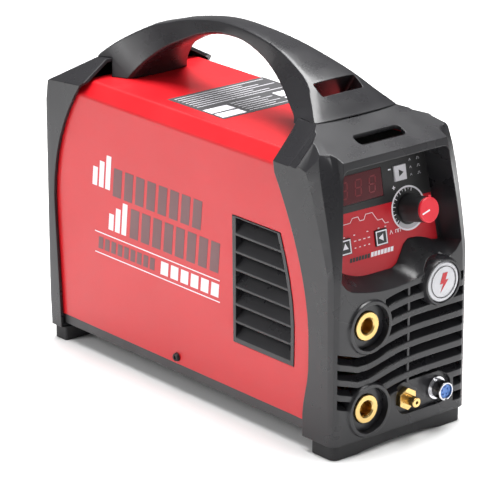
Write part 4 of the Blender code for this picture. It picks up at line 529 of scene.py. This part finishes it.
def print_display():
    bars = []
    for i in range(DIGITS):
        bars += digit_segments(DIGIT_AT[0] + i * DIGIT_PITCH, DIGIT_AT[1])
    middle = (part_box("display_window")[0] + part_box("display_window")[1]) / 2
    face = (middle - PANEL_ORIGIN).dot(PANEL_OUT) + WINDOW_FACE
    print_on("display_digits", panel_point, bars, "glow_red", base=face + 0.04 * MM, thick=DIGIT_THICK)


def print_label(f):
    """A blank rating label on the cover's top, with places measured back from f."""
    print_on("top_label", top_point, [rectangle(-46, 60, f + 168, f + 243)], "dark_print")
    blocks = [rectangle(-44, -18, f + 171, f + 183), rectangle(-44, -18, f + 186, f + 198),
              rectangle(34, 57, f + 171, f + 184), rectangle(34, 57, f + 187, f + 200)]
    print_on("top_label_blocks", top_point, blocks, "white_print", base=SECOND_LAYER)
    rows = [rectangle(-42, 56 - (i % 3) * 14, f + 207 + i * 5, f + 208.6 + i * 5) for i in range(7)]
    rows += [rectangle(-13, 29 - (i % 2) * 9, f + 173 + i * 5, f + 174.4 + i * 5) for i in range(6)]
    print_on("top_label_rows", top_point, rows, "grey_print", base=SECOND_LAYER)


def print_side(word, place, f):
    """Rows of plain bars and two thin rules on one side, with places measured back from f."""
    rules = [rectangle(f + 144, f + 315, 96.4, 97.3), rectangle(f + 144, f + 315, 115.5, 116.4)]
    print_on(f"side_rules_{word}", place, rules, "white_print")
    bars = bar_row(f + 146, 15.5, 8, 122, 11.5, 27)
    bars += bar_row(f + 169, 15.5, 8, 154, 11.5, 26)
    bars += bar_row(f + 232, 9, 9, 101, 6.5, 11)
    print_on(f"side_bars_{word}", place, bars, "red_grey_print")
    motif = bar_row(f + 293, 9, 3, 158, 6.5, 31, 7)
    motif += bar_row(f + 271, 9, 3, 122, 6.5, 29, 7)
    motif += bar_row(f + 146, 13.5, 6, 100.5, 10, 12)
    print_on(f"side_motif_{word}", place, motif, "white_print")


def print_cover():
    start = (COVER_FRONT - COVER_PRINT_LEAD) / MM
    print_label(start)
    print_side("left", left_point, start)
    print_side("right", right_point, start)


def print_badge():
    print_on("badge_ring", badge_point, ring(0, 0, *BADGE_RING, 32), "dark_print")
    print_on("badge_bolt", badge_point, [BADGE_BOLT], "red_film")


# ---- Stage, lights and camera ----

def make_stage():
    paper = Nodes(bpy.data.materials.new("floor"))
    shade = paper.mix(paper.ramp(paper.noise(3, 2), 0, 1), (0.86, 0.86, 0.86), (0.88, 0.88, 0.88))
    paper.link(shade, paper.shader.inputs["Base Color"])
    paper.set(Roughness=0.9)
    bpy.ops.mesh.primitive_plane_add(size=FLOOR_SIZE, location=(0, 0, CAD_BOX[0][2] - FLOOR_DROP))
    floor = bpy.context.object
    floor.name = "floor"
    floor.data.materials.append(paper.material)
    world = bpy.data.worlds.new("studio")
    world.use_nodes = True
    background = world.node_tree.nodes["Background"]
    background.inputs["Color"].default_value = (1, 1, 1, 1)
    background.inputs["Strength"].default_value = WORLD_STRENGTH
    bpy.context.scene.world = world


def make_lights():
    for name, at, size, power in LIGHTS:
        data = bpy.data.lights.new(name, "AREA")
        data.shape = "RECTANGLE"
        data.size, data.size_y = size
        data.energy = power
        light = bpy.data.objects.new(name, data)
        light.location = at
        light.rotation_euler = (Vector(at) - Vector(LIGHT_AIM)).to_track_quat("Z", "Y").to_euler()
        bpy.context.scene.collection.objects.link(light)


def make_camera():
    data = bpy.data.cameras.new("camera")
    camera = bpy.data.objects.new("camera", data)
    bpy.context.scene.collection.objects.link(camera)
    turn, tilt = radians(CAMERA_TURN), radians(CAMERA_TILT)
    forward = Vector((sin(turn) * cos(tilt), cos(turn) * cos(tilt), -sin(tilt)))
    camera.location = CAMERA_AT
    camera.rotation_euler = (-forward).to_track_quat("Z", "Y").to_euler()
    data.sensor_width = CAMERA_SENSOR
    data.lens = CAMERA_LENS
    data.clip_end = CAMERA_REACH
    bpy.context.scene.camera = camera


bpy.context.scene.view_settings.view_transform = "Standard"
make_camera()
make_stage()
make_lights()
make_plastics_and_paints()
make_metals()
make_inks()
dress_nodes()
print_fields()
print_dial()
print_upper_symbols()
print_lower_symbols()
print_keys()
print_pointer()
print_display()
print_cover()
print_badge()
